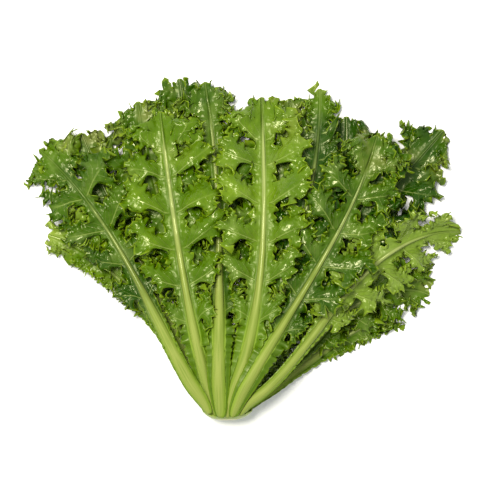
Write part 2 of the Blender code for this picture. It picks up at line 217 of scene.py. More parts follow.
class Course:
    """The course of a leaf's rib in plan."""

    STEPS = 240
    ROOT_Y = -138.0

    def __init__(self, plan: LeafPlan) -> None:
        """Walks the rib from the root to the tip.

        Args:
            plan: the leaf's plan.
        """
        share = np.linspace(0.0, 1.0, self.STEPS + 1)
        first, second, third = plan.heading
        self.along = share * plan.length
        self.angle = np.radians(first + second * share + third * share**2)
        middle = 0.5 * (self.angle[1:] + self.angle[:-1])
        step = plan.length / self.STEPS
        self.x = plan.root_x + np.concatenate(([0.0], np.cumsum(np.sin(middle) * step)))
        self.y = self.ROOT_Y + np.concatenate(([0.0], np.cumsum(np.cos(middle) * step)))

    def place(self, along: np.ndarray, aside: np.ndarray) -> tuple[np.ndarray, np.ndarray]:
        """Places points in plan.

        Args:
            along: how far along the rib each point is, which may be past its ends.
            aside: how far to the right of the rib it is.

        Returns:
            The points' x and y.
        """
        inside = np.clip(along, 0.0, self.along[-1])
        angle = np.interp(inside, self.along, self.angle)
        past = along - inside
        x = np.interp(inside, self.along, self.x) + past * np.sin(angle)
        y = np.interp(inside, self.along, self.y) + past * np.cos(angle)
        return x + aside * np.cos(angle), np.maximum(y - aside * np.sin(angle), self.ROOT_Y)


@dataclass(frozen=True)
class Proportions:
    """The shape that all the leaves share. Shares are of a leaf's length."""

    rib_root: float = 5.0
    rib_tip: float = 1.3
    rib_power: float = 1.3
    ridge_root: float = 5.6
    ridge_tip: float = 0.9
    ridge_shoulder: float = 0.52
    ridge_inside: float = 0.12
    blade: float = 0.95
    margin_root: float = 1.9
    margin_blade: float = 5.5
    margin_grows: Pair = (-0.11, 0.19)
    taper: float = 0.62
    taper_share: float = 0.09
    stalk_rows: tuple[float, ...] = (0.0, 0.06, 0.13, 0.2)
    long_stalk_rows: tuple[float, ...] = (0.29, 0.38, 0.47)
    stalk_clear: float = 0.02
    lobes_to: float = 0.86
    lobe_steps: tuple[float, ...] = (0.0, 0.34, 0.67, 1.0)
    lobe_grows: Pair = (-0.09, 0.33)
    smallest_lobe: float = 0.24
    full_lobe: float = 30.0
    attach: float = 0.5
    spread: Pair = (0.61, 0.865)
    forward: float = math.tan(math.radians(27.0))
    straightens: float = 0.25
    rounded: float = 0.2
    shifted: float = 0.09
    reach: Pair = (0.86, 1.1)
    end_steps: tuple[float, ...] = (0.0, 0.36, 0.72, 1.0)
    end_widths: tuple[float, ...] = (0.74, 0.86, 0.67, 0.29)
    end_forward: float = 7.0
    end_rounded: float = 9.0
    end_narrows: float = 0.45
    jag: float = 4.5

    def tapered(self, share: np.ndarray | float) -> np.ndarray:
        """How much the stalk narrows towards the cut end."""
        return self.taper + (1.0 - self.taper) * rise(share, 0.0, self.taper_share)

    def rib_half(self, share: np.ndarray | float) -> np.ndarray:
        """Half the width of the rib."""
        left = np.clip(1.0 - share, 0.0, 1.0) ** self.rib_power
        return (self.rib_tip + (self.rib_root - self.rib_tip) * left) * self.tapered(share)

    def margin(self, share: np.ndarray | float, bare: float) -> np.ndarray:
        """Widens the blade beside the rib from the stalk to the lobes.

        Args:
            share: how far up the leaf it is read.
            bare: the share of the leaf that is bare stalk.

        Returns:
            Its width.
        """
        grown = rise(share - bare, *self.margin_grows)
        wide = self.margin_root + (self.margin_blade - self.margin_root) * grown
        return wide * self.tapered(share)

    def ridge(self, share: np.ndarray | float) -> np.ndarray:
        """How far the rib stands out of the back of the blade."""
        high = self.ridge_tip + (self.ridge_root - self.ridge_tip) * (1.0 - share)
        return high * 0.5 * (1.0 + self.tapered(share))


SHAPE = Proportions()


class FrameLeaf:
    """The frame's own leaf, read back as a grid of places along and aside of the rib."""

    COLUMNS = 9
    MIDDLE = 4
    STRIP = 2  # columns on either side of the rib's middle that belong to no lobe
    NEAR = 0.03  # how far a vertex of the node may be from its grid point

    def __init__(self, plan: LeafPlan) -> None:
        """Lays out the grid and reads its heights from the node.

        Args:
            plan: the leaf's plan.
        """
        self.plan = plan
        self.course = Course(plan)
        longer = [share for share in SHAPE.long_stalk_rows if share < plan.bare - SHAPE.stalk_clear]
        self.rows = [(Region.STALK, 0, share) for share in (*SHAPE.stalk_rows, *longer)]
        self.stalks = len(self.rows)
        for pair in range(plan.pairs):
            self.rows += [(Region.LOBE, pair, step) for step in SHAPE.lobe_steps]
        self.rows += [(Region.END, plan.pairs, step) for step in SHAPE.end_steps]
        chance = np.random.default_rng(plan.seed)
        self.noise = chance.uniform(-1.0, 1.0, (len(self.rows), self.COLUMNS))
        self.shift = chance.uniform(-SHAPE.shifted, SHAPE.shifted, (plan.pairs + 1, 2))
        self.reach = chance.uniform(*SHAPE.reach, (plan.pairs + 1, 2))
        self.pitch = plan.length * (SHAPE.lobes_to - plan.bare) / plan.pairs
        empty = np.full((len(self.rows), self.COLUMNS), np.nan)
        self.along, self.aside, self.height = empty, empty.copy(), empty.copy()
        self.row_along = np.array([self.along_of(row) for row in range(len(self.rows))])
        for row, (kind, _, _) in enumerate(self.rows):
            for column in range(self.COLUMNS):
                if kind is not Region.STALK or abs(column - self.MIDDLE) <= self.STRIP:
                    self.along[row, column], self.aside[row, column] = self.spot(row, column)
        self.read_heights()

    def along_of(self, row: int) -> float:
        """Places one row.

        Args:
            row: its number.

        Returns:
            How far along the rib it starts.
        """
        kind, pair, step = self.rows[row]
        length = self.plan.length
        if kind is Region.STALK:
            return step * length
        if kind is Region.END:
            return (SHAPE.lobes_to + step * (1.0 - SHAPE.lobes_to)) * length
        centre = self.plan.bare * length + (pair + 0.5) * self.pitch
        return centre + (step - 0.5) * SHAPE.attach * self.pitch

    def spot(self, row: int, column: int) -> tuple[float, float]:
        """Places one grid point.

        Args:
            row: the point's row.
            column: the point's column.

        Returns:
            How far along and to the right of the rib it is.
        """
        kind, pair, step = self.rows[row]
        along = self.row_along[row]
        share = along / self.plan.length
        away = abs(column - self.MIDDLE)
        side = 1 if column > self.MIDDLE else 0
        rib = float(SHAPE.rib_half(share))
        margin = rib + float(SHAPE.margin(share, self.plan.bare))
        aside = (0.0, rib, margin)[min(away, self.STRIP)]
        if away > self.STRIP:
            outward = (away - self.STRIP) / 2.0
            grown = float(rise(share - self.plan.bare, *SHAPE.lobe_grows))
            grown = SHAPE.smallest_lobe + (1.0 - SHAPE.smallest_lobe) * grown
            length = (self.plan.widths[side] - SHAPE.margin_blade) * grown * self.reach[pair, side]
            ragged = SHAPE.jag * self.noise[row, column] * min(1.0, length / SHAPE.full_lobe)
            across = 2.0 * step - 1.0
            if kind is Region.END:
                width = SHAPE.end_widths[SHAPE.end_steps.index(step)]
                aside = margin + length * width * outward
                along += SHAPE.end_forward * outward * (1.0 - step)
                along += (ragged - SHAPE.end_rounded * outward**2) * step
            else:
                aside = margin + length * outward * (1.0 - SHAPE.rounded * outward * across**2)
                spread = SHAPE.spread[away - self.STRIP - 1] - SHAPE.attach
                along += self.pitch * (self.shift[pair, side] + 0.5 * across * spread)
                along += (aside - margin) * SHAPE.forward * (1.0 - SHAPE.straightens * outward)
            if outward == 1.0:
                aside += ragged
        elif kind is Region.END:
            aside *= 1.0 - SHAPE.end_narrows * step
        return along, aside if side else -aside

    def read_heights(self) -> None:
        """Takes the height of each grid point's middle surface from the node."""
        corners = mesh_points(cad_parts[self.plan.name]) / MM
        x, y = self.course.place(self.along, self.aside)
        missed = 0
        for row, column in np.argwhere(~np.isnan(self.along)):
            near = np.abs(corners[:, 0] - x[row, column]) < self.NEAR
            near &= np.abs(corners[:, 1] - y[row, column]) < self.NEAR
            if not near.any():
                missed += 1
                continue
            share = self.row_along[row] / self.plan.length
            away = min(abs(column - self.MIDDLE), self.STRIP)
            raised = float(SHAPE.ridge(share)) * (1.0, SHAPE.ridge_shoulder, 0.0)[away]
            back = SHAPE.blade / 2.0 + raised
            face = SHAPE.blade / 2.0 + SHAPE.ridge_inside * raised
            up, down = (back, face) if self.plan.facing is Facing.BACK else (face, back)
            top, low = corners[near, 2].max(), corners[near, 2].min()
            self.height[row, column] = 0.5 * (top - up + low + down)
        if missed:
            log.warning("%s: %d grid points not found in the node", self.plan.name, missed)


class HeightMap:
    """The highest or lowest surface over every cell of the table."""

    LOW = (-225.0, -175.0)
    CELLS = (450, 350)
    CELL = 1.0

    def __init__(self, empty: float) -> None:
        """Starts with nothing in any cell: far below for the highest, far above for the lowest."""
        self.pick = np.maximum if empty < 0.0 else np.minimum
        self.level = np.full(self.CELLS, empty)

    @classmethod
    def cells(cls, x: np.ndarray, y: np.ndarray) -> tuple[np.ndarray, np.ndarray]:
        """Finds the cell of each point.

        Args:
            x: the points' places across the bunch.
            y: their places along it.

        Returns:
            The cells' columns and rows.
        """
        column = np.clip(((x - cls.LOW[0]) / cls.CELL).astype(int), 0, cls.CELLS[0] - 1)
        row = np.clip(((y - cls.LOW[1]) / cls.CELL).astype(int), 0, cls.CELLS[1] - 1)
        return column, row

    def add(self, points: np.ndarray) -> None:
        """Takes in points, keeping the highest or the lowest of each cell."""
        self.pick.at(self.level, self.cells(points[:, 0], points[:, 1]), points[:, 2])

    def widened(self) -> np.ndarray:
        """Takes the level over each cell and its neighbours.

        Returns:
            The wider level.
        """
        around = self.level
        for axis in (0, 1):
            sides = np.roll(around, 1, axis), np.roll(around, -1, axis)
            around = self.pick(self.pick(*sides), around)
        return around


def spread_points(corners: np.ndarray, spacing: float = 0.8) -> np.ndarray:
    """Points spread evenly over triangles.

    Args:
        corners: the triangles' corners, as an array of (triangle, corner, axis).
        spacing: the widest gap between two points.

    Returns:
        The points, one row each.
    """
    edges = np.linalg.norm(corners - np.roll(corners, 1, axis=1), axis=2).max(axis=1)
    counts = np.maximum(1, np.ceil(edges / spacing).astype(int))
    found = []
    for count in np.unique(counts):
        first, second = np.meshgrid(np.arange(count + 1), np.arange(count + 1))
        inside = first + second <= count
        first, second = first[inside] / count, second[inside] / count
        weights = np.stack((1.0 - first - second, first, second), axis=1)
        found.append(np.einsum("pc,tcx->tpx", weights, corners[counts == count]).reshape(-1, 3))
    return np.concatenate(found)


def cell_points(points: np.ndarray, faces: np.ndarray) -> np.ndarray:
    """Points spread over the cells of a grid.

    Args:
        points: the places of the grid.
        faces: whether each cell is blade.

    Returns:
        The points, one row each.
    """
    ends, thirds = (slice(None, -1), slice(1, None)), (0.0, 0.34, 0.67)
    corners = [points[row, column][faces] for row in ends for column in ends]
    found = []
    for down in thirds:
        left, right = (corners[side] * (1.0 - down) + corners[side + 2] * down for side in (0, 1))
        found += [left + (right - left) * across for across in thirds]
    return np.concatenate(found)


class Pile:
    """What lies under and over each leaf while the fine leaves are laid down."""

    GAP = 0.25

    def __init__(self) -> None:
        """Reads the underside of every leaf of the frame."""
        self.under: list[np.ndarray] = []
        for plan in PLANS:
            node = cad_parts[plan.name]
            faces = np.empty(len(node.data.polygons) * 3, np.int32)
            node.data.polygons.foreach_get("vertices", faces)
            lowest = HeightMap(NOWHERE)
            lowest.add(spread_points(mesh_points(node)[faces.reshape(-1, 3)] / MM))
            self.under.append(lowest.widened())
        self.top = HeightMap(-NOWHERE)

    def limits(self, index: int) -> tuple[np.ndarray, np.ndarray]:
        """Finds the room that one leaf has.

        Args:
            index: its place in the pile.

        Returns:
            The floor and the ceiling over every cell of the table.
        """
        floor = np.maximum(self.top.widened() + self.GAP, 0.0)
        above = [np.full(HeightMap.CELLS, NOWHERE), *self.under[index + 1 :]]
        return floor, np.min(above, axis=0) - self.GAP


class LeafGrid:
    """The fine grid of one leaf: its rows and columns, and which cells are blade."""

    RIB = (-1.0, -0.8, -0.45, 0.0, 0.45, 0.8, 1.0)
    BESIDE = 1  # columns between the rib and the margin of the blade beside it
    NARROW = 5  # cells outward from there in the bays and beside the stalk
    ROW = 1.7  # the length of a cell in the bays and along the stalk
    LEAST_BAY = 5  # cells along a bay
    FINER_PAIRS = 3  # counted from the tip, with the tip
    FEWER = 4  # cells that a lower lobe has less
    MORE = 10  # cells that the tip has more
    INNER = 0.26  # the q that the narrow part reaches
    CROWDED = 0.13  # how much closer the outer columns lie

    def __init__(self, leaf: FrameLeaf, across: int, outward: int) -> None:
        """Lists the fine rows.

        Args:
            leaf: the frame's leaf.
            across: cells across a lobe.
            outward: cells from the rib's margin to a lobe's outer edge.
        """
        self.outward = outward
        self.kind: list[Region] = []
        self.pair: list[int] = []
        self.step: list[float] = []
        self.along: list[float] = []
        pairs, starts = leaf.plan.pairs, leaf.row_along
        first = starts[leaf.stalks]
        self.add(Region.STALK, 0, (0.0, first), range(math.ceil(first / self.ROW)))
        for pair in range(pairs + 1):
            base = leaf.stalks + 4 * pair
            low, high = starts[base], starts[base + 3]
            kind = Region.LOBE if pair < pairs else Region.END
            count = across if pair > pairs - self.FINER_PAIRS else across - self.FEWER
            count += self.MORE if kind is Region.END else 0
            self.add(kind, pair, (low, high), range(count + 1), count)
            if pair < pairs:
                after = starts[base + 4]
                gaps = max(self.LEAST_BAY, math.ceil((after - high) / self.ROW))
                self.add(Region.SINUS, pair, (high, after), range(1, gaps), gaps)
        self.centre = len(self.RIB) + 2 * self.BESIDE + 2
        self.columns = 2 * outward + self.centre
        self.rows = len(self.kind)
        self.faces = self.find_faces()
        share = np.linspace(0.0, 1.0, outward - self.NARROW + 1)
        inner = self.INNER * np.linspace(0.0, 1.0, self.NARROW + 1)
        share += self.CROWDED * np.sin(math.pi * share)
        self.q = np.concatenate((inner[:-1], self.INNER + (1.0 - self.INNER) * share))

    def add(self, kind: Region, pair: int, ends: Pair, rows: range, count: int = 0) -> None:
        """Adds the rows of one stretch of the rib.

        Args:
            kind: what the stretch is.
            pair: which lobe it is or follows.
            ends: how far along the rib it starts and ends.
            rows: which of its rows are added.
            count: its cells, or as many as the rows.
        """
        for row in rows:
            step = row / (count or len(rows))
            self.kind.append(kind)
            self.pair.append(pair)
            self.step.append(step)
            self.along.append(ends[0] + (ends[1] - ends[0]) * step)

    def find_faces(self) -> np.ndarray:
        """Finds the cells that are blade.

        Returns:
            Whether each cell of the grid is.
        """
        narrow = self.outward - self.NARROW
        faces = np.zeros((self.rows - 1, self.columns - 1), bool)
        faces[:, narrow:-narrow] = True
        for row, kinds in enumerate(zip(self.kind, self.kind[1:])):
            faces[row] |= kinds in ((Region.LOBE, Region.LOBE), (Region.END, Region.END))
        return faces


@dataclass
class LobePatch:
    """One lobe as a smooth patch, read relative to the blade's edge beside the rib.

    Args:
        leaf: the frame's leaf.
        pair: which lobe it is, counted from the stalk, or the number of pairs for the tip.
        side: 0 to the left of the rib and 1 to the right.
        chance: what its own sizes are drawn from.
    """

    leaf: FrameLeaf
    pair: int
    side: int
    chance: np.random.Generator
    fan: float = 5.2  # how far both edges spread along the rib
    edge_back: float = 0.17  # how much of the reach the edges lose
    outer_wave: Pair = (3.0, 2.5)  # of a lobe's outer edge, and of the tip's
    side_wave: float = 2.0
    heel: float = 4.5  # how far the lower edge curves up towards the tip
    calm_flattens: float = 0.45  # how much of the frame's own waves a calm leaf loses
    dome: Pair = (1.2, 4.2)  # height of the swelling, and what calm adds
    dome_power: Pair = (0.75, 1.25)  # of a lobe and of the tip: where the dome is highest
    raised: float = 3.0
    tilt: tuple[float, float, float] = (3.4, 1.3, 1.2)  # with what calm and chance add
    tuck: float = 3.4  # how far the lower edge dips
    droop: float = 5.0  # how far a calm leaf's end dips in the middle
    notch: tuple[float, float, float] = (0.46, 0.62, 0.12)  # place, depth and width
    deepest: float = 0.86
    fork_wide: float = 0.25  # how much wider a calm leaf's lower tip lobes are
    tip_swept: Pair = (13.0, 4.0)  # how far the lower and the upper tip lobes sweep forward
    tip_wave: float = 3.0
    tip_round: float = 7.0
    vein_slants: Pair = (0.2, 0.5)  # of a lobe and of the tip

    def __post_init__(self) -> None:
        """Takes the lobe's grid points from the frame's leaf."""
        leaf, side = self.leaf, self.side
        self.calm = leaf.plan.calm
        self.is_end = self.pair == leaf.plan.pairs
        self.steps = np.array(SHAPE.end_steps if self.is_end else SHAPE.lobe_steps)
        base = leaf.stalks + 4 * self.pair
        columns = (6, 7, 8) if side else (2, 1, 0)
        tables = (leaf.along, np.abs(leaf.aside), leaf.height)
        tables = [table[base : base + 4][:, columns] for table in tables]
        self.tables = [table - table[:, :1] for table in tables]
        self.length = self.tables[1][1, 2]
        self.small = min(1.0, self.length / SHAPE.full_lobe)
        narrow = leaf.plan.tips[side]
        last = self.pair == leaf.plan.pairs - 1
        self.narrow = narrow if self.is_end else math.sqrt(narrow) if last else 1.0
        self.fork = self.calm if self.is_end else 0.0
        self.bulge = self.chance.uniform(0.0, 2.0 * math.pi, 3)
        self.vary = self.chance.uniform(0.8, 1.2, 4)
        self.bend = self.chance.uniform(-6.0, 6.0)
        self.lift = self.chance.uniform(-2.0, 5.0)

    def read(self, step: float, q: np.ndarray) -> Places:
        """The lobe's places on one row, relative to the blade's edge.

        Args:
            step: 0 at the lobe's lower edge and 1 at its upper edge.
            q: 0 at the blade's edge beside the rib and 1 at the lobe's outer edge.

        Returns:
            How far along and aside, and how high, each place is.
        """
        at = np.array([step])
        near, far = 4.0 * q * (1.0 - q), 2.0 * q * (q - 0.5)
        along, aside, height = (
            near * spline(self.steps, table[:, 1], at)[0] + far * spline(self.steps, table[:, 2], at)[0]
            for table in self.tables
        )
        wave = self.small * math.cos(2.3 * math.pi * (2.0 * step - 1.0) * self.vary[1] + self.bulge[0])
        shift, kept = self.parted(step, q) if self.is_end else self.fanned(step, q)
        aside = (aside * kept + self.outer_wave[self.is_end] * wave * q**3) * self.narrow
        height *= 1.0 - self.calm_flattens * self.calm
        return along + shift, aside, height + self.swelling(step, q)

    def fanned(self, step: float, q: np.ndarray) -> tuple[np.ndarray, np.ndarray]:
        """Fans out, bends and rounds a side lobe.

        Args:
            step: the row's place, as for read.
            q: the places' own, as for read.

        Returns:
            How far each place moves along the rib, and how much of its reach it keeps.
        """
        across = 2.0 * step - 1.0
        side = np.sin(2.6 * math.pi * q * self.vary[2] + self.bulge[1])
        lower = max(0.0, 1.0 - step / 0.3) ** 2
        shift = across * self.fan * self.vary[0] * q**1.3 + self.bend * q**2
        shift += across**3 * self.side_wave * side * q
        shift += lower * self.heel * np.sin(math.pi * np.clip(q / 0.8, 0.0, 1.0))
        return shift * self.small, 1.0 - self.edge_back * across**4 * q**2

    def parted(self, step: float, q: np.ndarray) -> tuple[np.ndarray, np.ndarray]:
        """Parts the leaf's tip into two side lobes and a middle one.

        Args:
            step: the row's place, as for read.
            q: the places' own, as for read.

        Returns:
            How far each place moves along the rib, and how much of its reach it keeps.
        """
        place, depth, width = self.notch
        place += 0.05 * self.vary[1]
        depth = min(self.deepest, depth * self.vary[2] * (1.0 + 0.3 * self.fork))
        depth *= math.exp(-(((step - place) / width) ** 2))
        broad = self.fork_wide * self.fork * math.exp(-(((step - 0.1) / 0.22) ** 2))
        wave = self.tip_wave * np.sin(7.0 * q + self.bulge[2]) * rise(q, 0.0, 0.2)
        swept = self.tip_swept[0 if step < place else 1] * q**1.3 * (1.0 - 0.5 * step)
        shift = swept + (wave - self.tip_round * q**2) * step**4
        return shift, (1.0 - depth * q**0.5) * (1.0 + broad * q)

    def swelling(self, step: float, q: np.ndarray) -> np.ndarray:
        """How far the lobe swells, tilts and dips out of the frame's own surface.

        Args:
            step: the row's place, as for read.
            q: the places' own, as for read.

        Returns:
            The height to add at each place.
        """
        power = self.dome_power[self.is_end]
        height = math.sin(math.pi * step) * np.sin(math.pi * q**power)
        height = height * (self.dome[0] + self.dome[1] * self.calm) * self.small
        if self.is_end:
            return height - self.droop * self.fork * float(rise(step, 0.62, 1.0)) * (1.0 - q)
        tilt = self.tilt[0] + self.tilt[1] * self.calm + self.tilt[2] * math.sin(self.bulge[2])
        tilted = (self.raised - tilt * (2.0 * step - 1.0)) * self.vary[3]
        dips = self.tuck * max(0.0, 1.0 - step / 0.16) ** 2
        rises = tilted * rise(q, 0.0, 0.55) - dips * rise(q, 0.0, 0.3) + self.lift * q**2
        return height + rises * self.small

    def vein(self, step: float, q: np.ndarray) -> tuple[np.ndarray, np.ndarray]:
        """Places one row against the lobe's middle vein.

        Args:
            step: the row's place, as for read.
            q: the places' own, as for read.

        Returns:
            How far out along the vein each place is, and how far beside it.
        """
        pitch = self.leaf.pitch
        if self.is_end:
            return q * self.length, (step - 0.05 - self.vein_slants[1] * q) * pitch
        width = pitch * (SHAPE.attach + 0.42 * q)
        return q * self.length, (step - 0.27 - self.vein_slants[0] * q) * width

    def frill(self, step: float, q: np.ndarray) -> np.ndarray:
        """How strongly each place on one row may ruffle: a lobe's lower edge is smooth."""
        smooth = 0.0 if self.is_end else 0.97 * float(rise(1.45 - 2.1 * step, 0.0, 1.0))
        return 1.0 - smooth * (1.0 - rise(q, 0.72, 0.98))


class Links:
    """The neighbours on a leaf's grid, as pairs of slices with a mask of those that exist."""

    def __init__(self, faces: np.ndarray) -> None:
        """Finds which neighbours share a cell of the blade.

        Args:
            faces: whether each cell of the grid is blade.
        """
        rows, columns = faces.shape
        level = np.zeros((rows + 1, columns), bool)
        upright = np.zeros((rows, columns + 1), bool)
        meeting = np.zeros((rows + 1, columns + 1), int)
        whole, head, tail = slice(None), slice(None, -1), slice(1, None)
        for ends in (head, tail):
            level[ends] |= faces
            upright[:, ends] |= faces
            for sides in (head, tail):
                meeting[ends, sides] += faces
        self.straight: tuple[Link, ...] = (
            ((whole, head), (whole, tail), level),
            ((head, whole), (tail, whole), upright),
        )
        slanted = ((head, head), (tail, tail), faces), ((head, tail), (tail, head), faces)
        self.all: tuple[Link, ...] = self.straight + slanted
        self.used = meeting > 0
        self.rim = self.used & (meeting < 4)
        self.degree = self.count(self.straight)

    def count(self, links: tuple[Link, ...]) -> np.ndarray:
        """Counts the links that end at each place.

        Args:
            links: those to count.

        Returns:
            Their number at each place, or 1 where there is none.
        """
        found = np.zeros(self.used.shape)
        for first, second, mask in links:
            found[first] += mask
            found[second] += mask
        return np.maximum(found, 1.0)[..., None]

    def laplacian(self, values: np.ndarray) -> np.ndarray:
        """Compares each place with its neighbours.

        Args:
            values: a vector for each place.

        Returns:
            How far the mean of its neighbours' vectors is from its own.
        """
        total = np.zeros_like(values)
        for first, second, mask in self.straight:
            gap = (values[second] - values[first]) * mask[..., None]
            total[first] += gap
            total[second] -= gap
        return total / self.degree


class Rim:
    """The free edge of a leaf, as closed loops with the distance walked along them."""

    def __init__(self, points: np.ndarray, faces: np.ndarray) -> None:
        """Walks every loop.

        Args:
            points: the places of the grid.
            faces: whether each cell of the grid is blade.
        """
        padded = np.pad(faces, 1)
        self.nexts: dict[Cell, list[Cell]] = {}
        for row, column in np.argwhere(padded[:-1, 1:-1] != padded[1:, 1:-1]):
            self.join((row, column), (row, column + 1))
        for row, column in np.argwhere(padded[1:-1, :-1] != padded[1:-1, 1:]):
            self.join((row, column), (row + 1, column))
        self.walked = np.zeros(points.shape[:2])
        self.loops: list[tuple[np.ndarray, np.ndarray]] = []
        left = set(self.nexts)
        while left:
            loop = [min(left)]
            while loop[-1] in left:
                left.discard(loop[-1])
                loop += [place for place in self.nexts[loop[-1]] if place in left][:1]
            rows, columns = np.array(loop).T
            self.loops.append((rows, columns))
            steps = np.linalg.norm(np.diff(points[rows, columns], axis=0), axis=1)
            self.walked[rows, columns] = np.concatenate(([0.0], np.cumsum(steps)))

    def join(self, first: Cell, second: Cell) -> None:
        """Notes that two places are neighbours on the edge."""
        self.nexts.setdefault(first, []).append(second)
        self.nexts.setdefault(second, []).append(first)


@dataclass
class Modeller:
    """Turns a leaf's grid of places into a mesh object.

    Args:
        name: the piece's name.
        faces: whether each cell of the grid is blade.
    """

    name: str
    faces: np.ndarray
    levels: float = 200.0  # how finely a thickness is told apart

    def sheet(self) -> bpy.types.Object:
        """Adds a flat grid and deletes the cells that aren't blade.

        Returns:
            The sheet that is left.
        """
        rows, columns = self.faces.shape
        bpy.ops.mesh.primitive_grid_add(x_subdivisions=columns, y_subdivisions=rows, size=2.0)
        piece = bpy.context.object
        piece.name = piece.data.name = self.name
        corners = np.empty(len(piece.data.polygons) * 4, np.int32)
        piece.data.polygons.foreach_get("vertices", corners)
        lowest = self.places(piece)[corners.reshape(-1, 4)].min(axis=1)
        for group in (piece.data.vertices, piece.data.edges):
            group.foreach_set("select", np.zeros(len(group), bool))
        piece.data.polygons.foreach_set("select", ~self.faces[lowest[:, 0], lowest[:, 1]])
        bpy.ops.object.mode_set(mode="EDIT")
        bpy.ops.mesh.select_mode(type="FACE")
        bpy.ops.mesh.delete(type="FACE")
        bpy.ops.object.mode_set(mode="OBJECT")
        return piece

    def places(self, piece: bpy.types.Object) -> np.ndarray:
        """The row and the column of each vertex while the grid is flat."""
        return np.rint((mesh_points(piece)[:, 1::-1] + 1.0) / 2.0 * self.faces.shape).astype(int)

    @staticmethod
    def note(piece: bpy.types.Object, name: str, values: np.ndarray) -> None:
        """Stores a number or a vector for each vertex, which the finish reads.

        Args:
            piece: the mesh object.
            name: what the finish reads it by.
            values: one row for each vertex.
        """
        kind, field = ("FLOAT_VECTOR", "vector") if values.ndim == 2 else ("FLOAT", "value")
        made = piece.data.attributes.new(name, kind, "POINT")
        made.data.foreach_set(field, values.astype(np.float32).ravel())

    def thicken(self, piece: bpy.types.Object, thick: np.ndarray) -> None:
        """Gives the sheet its thickness.

        Args:
            piece: the sheet.
            thick: the thickness at each vertex.
        """
        most = float(thick.max())
        group = piece.vertex_groups.new(name="thickness")
        levels = np.rint(thick / most * self.levels).astype(int)
        for level in np.unique(levels):
            group.add(np.flatnonzero(levels == level).tolist(), float(level) / self.levels, "REPLACE")
        solid = piece.modifiers.new("Thickness", "SOLIDIFY")
        solid.thickness = most * MM
        solid.offset = 0.0
        solid.vertex_group = group.name
        bpy.ops.object.modifier_apply(modifier=solid.name)
        piece.vertex_groups.clear()


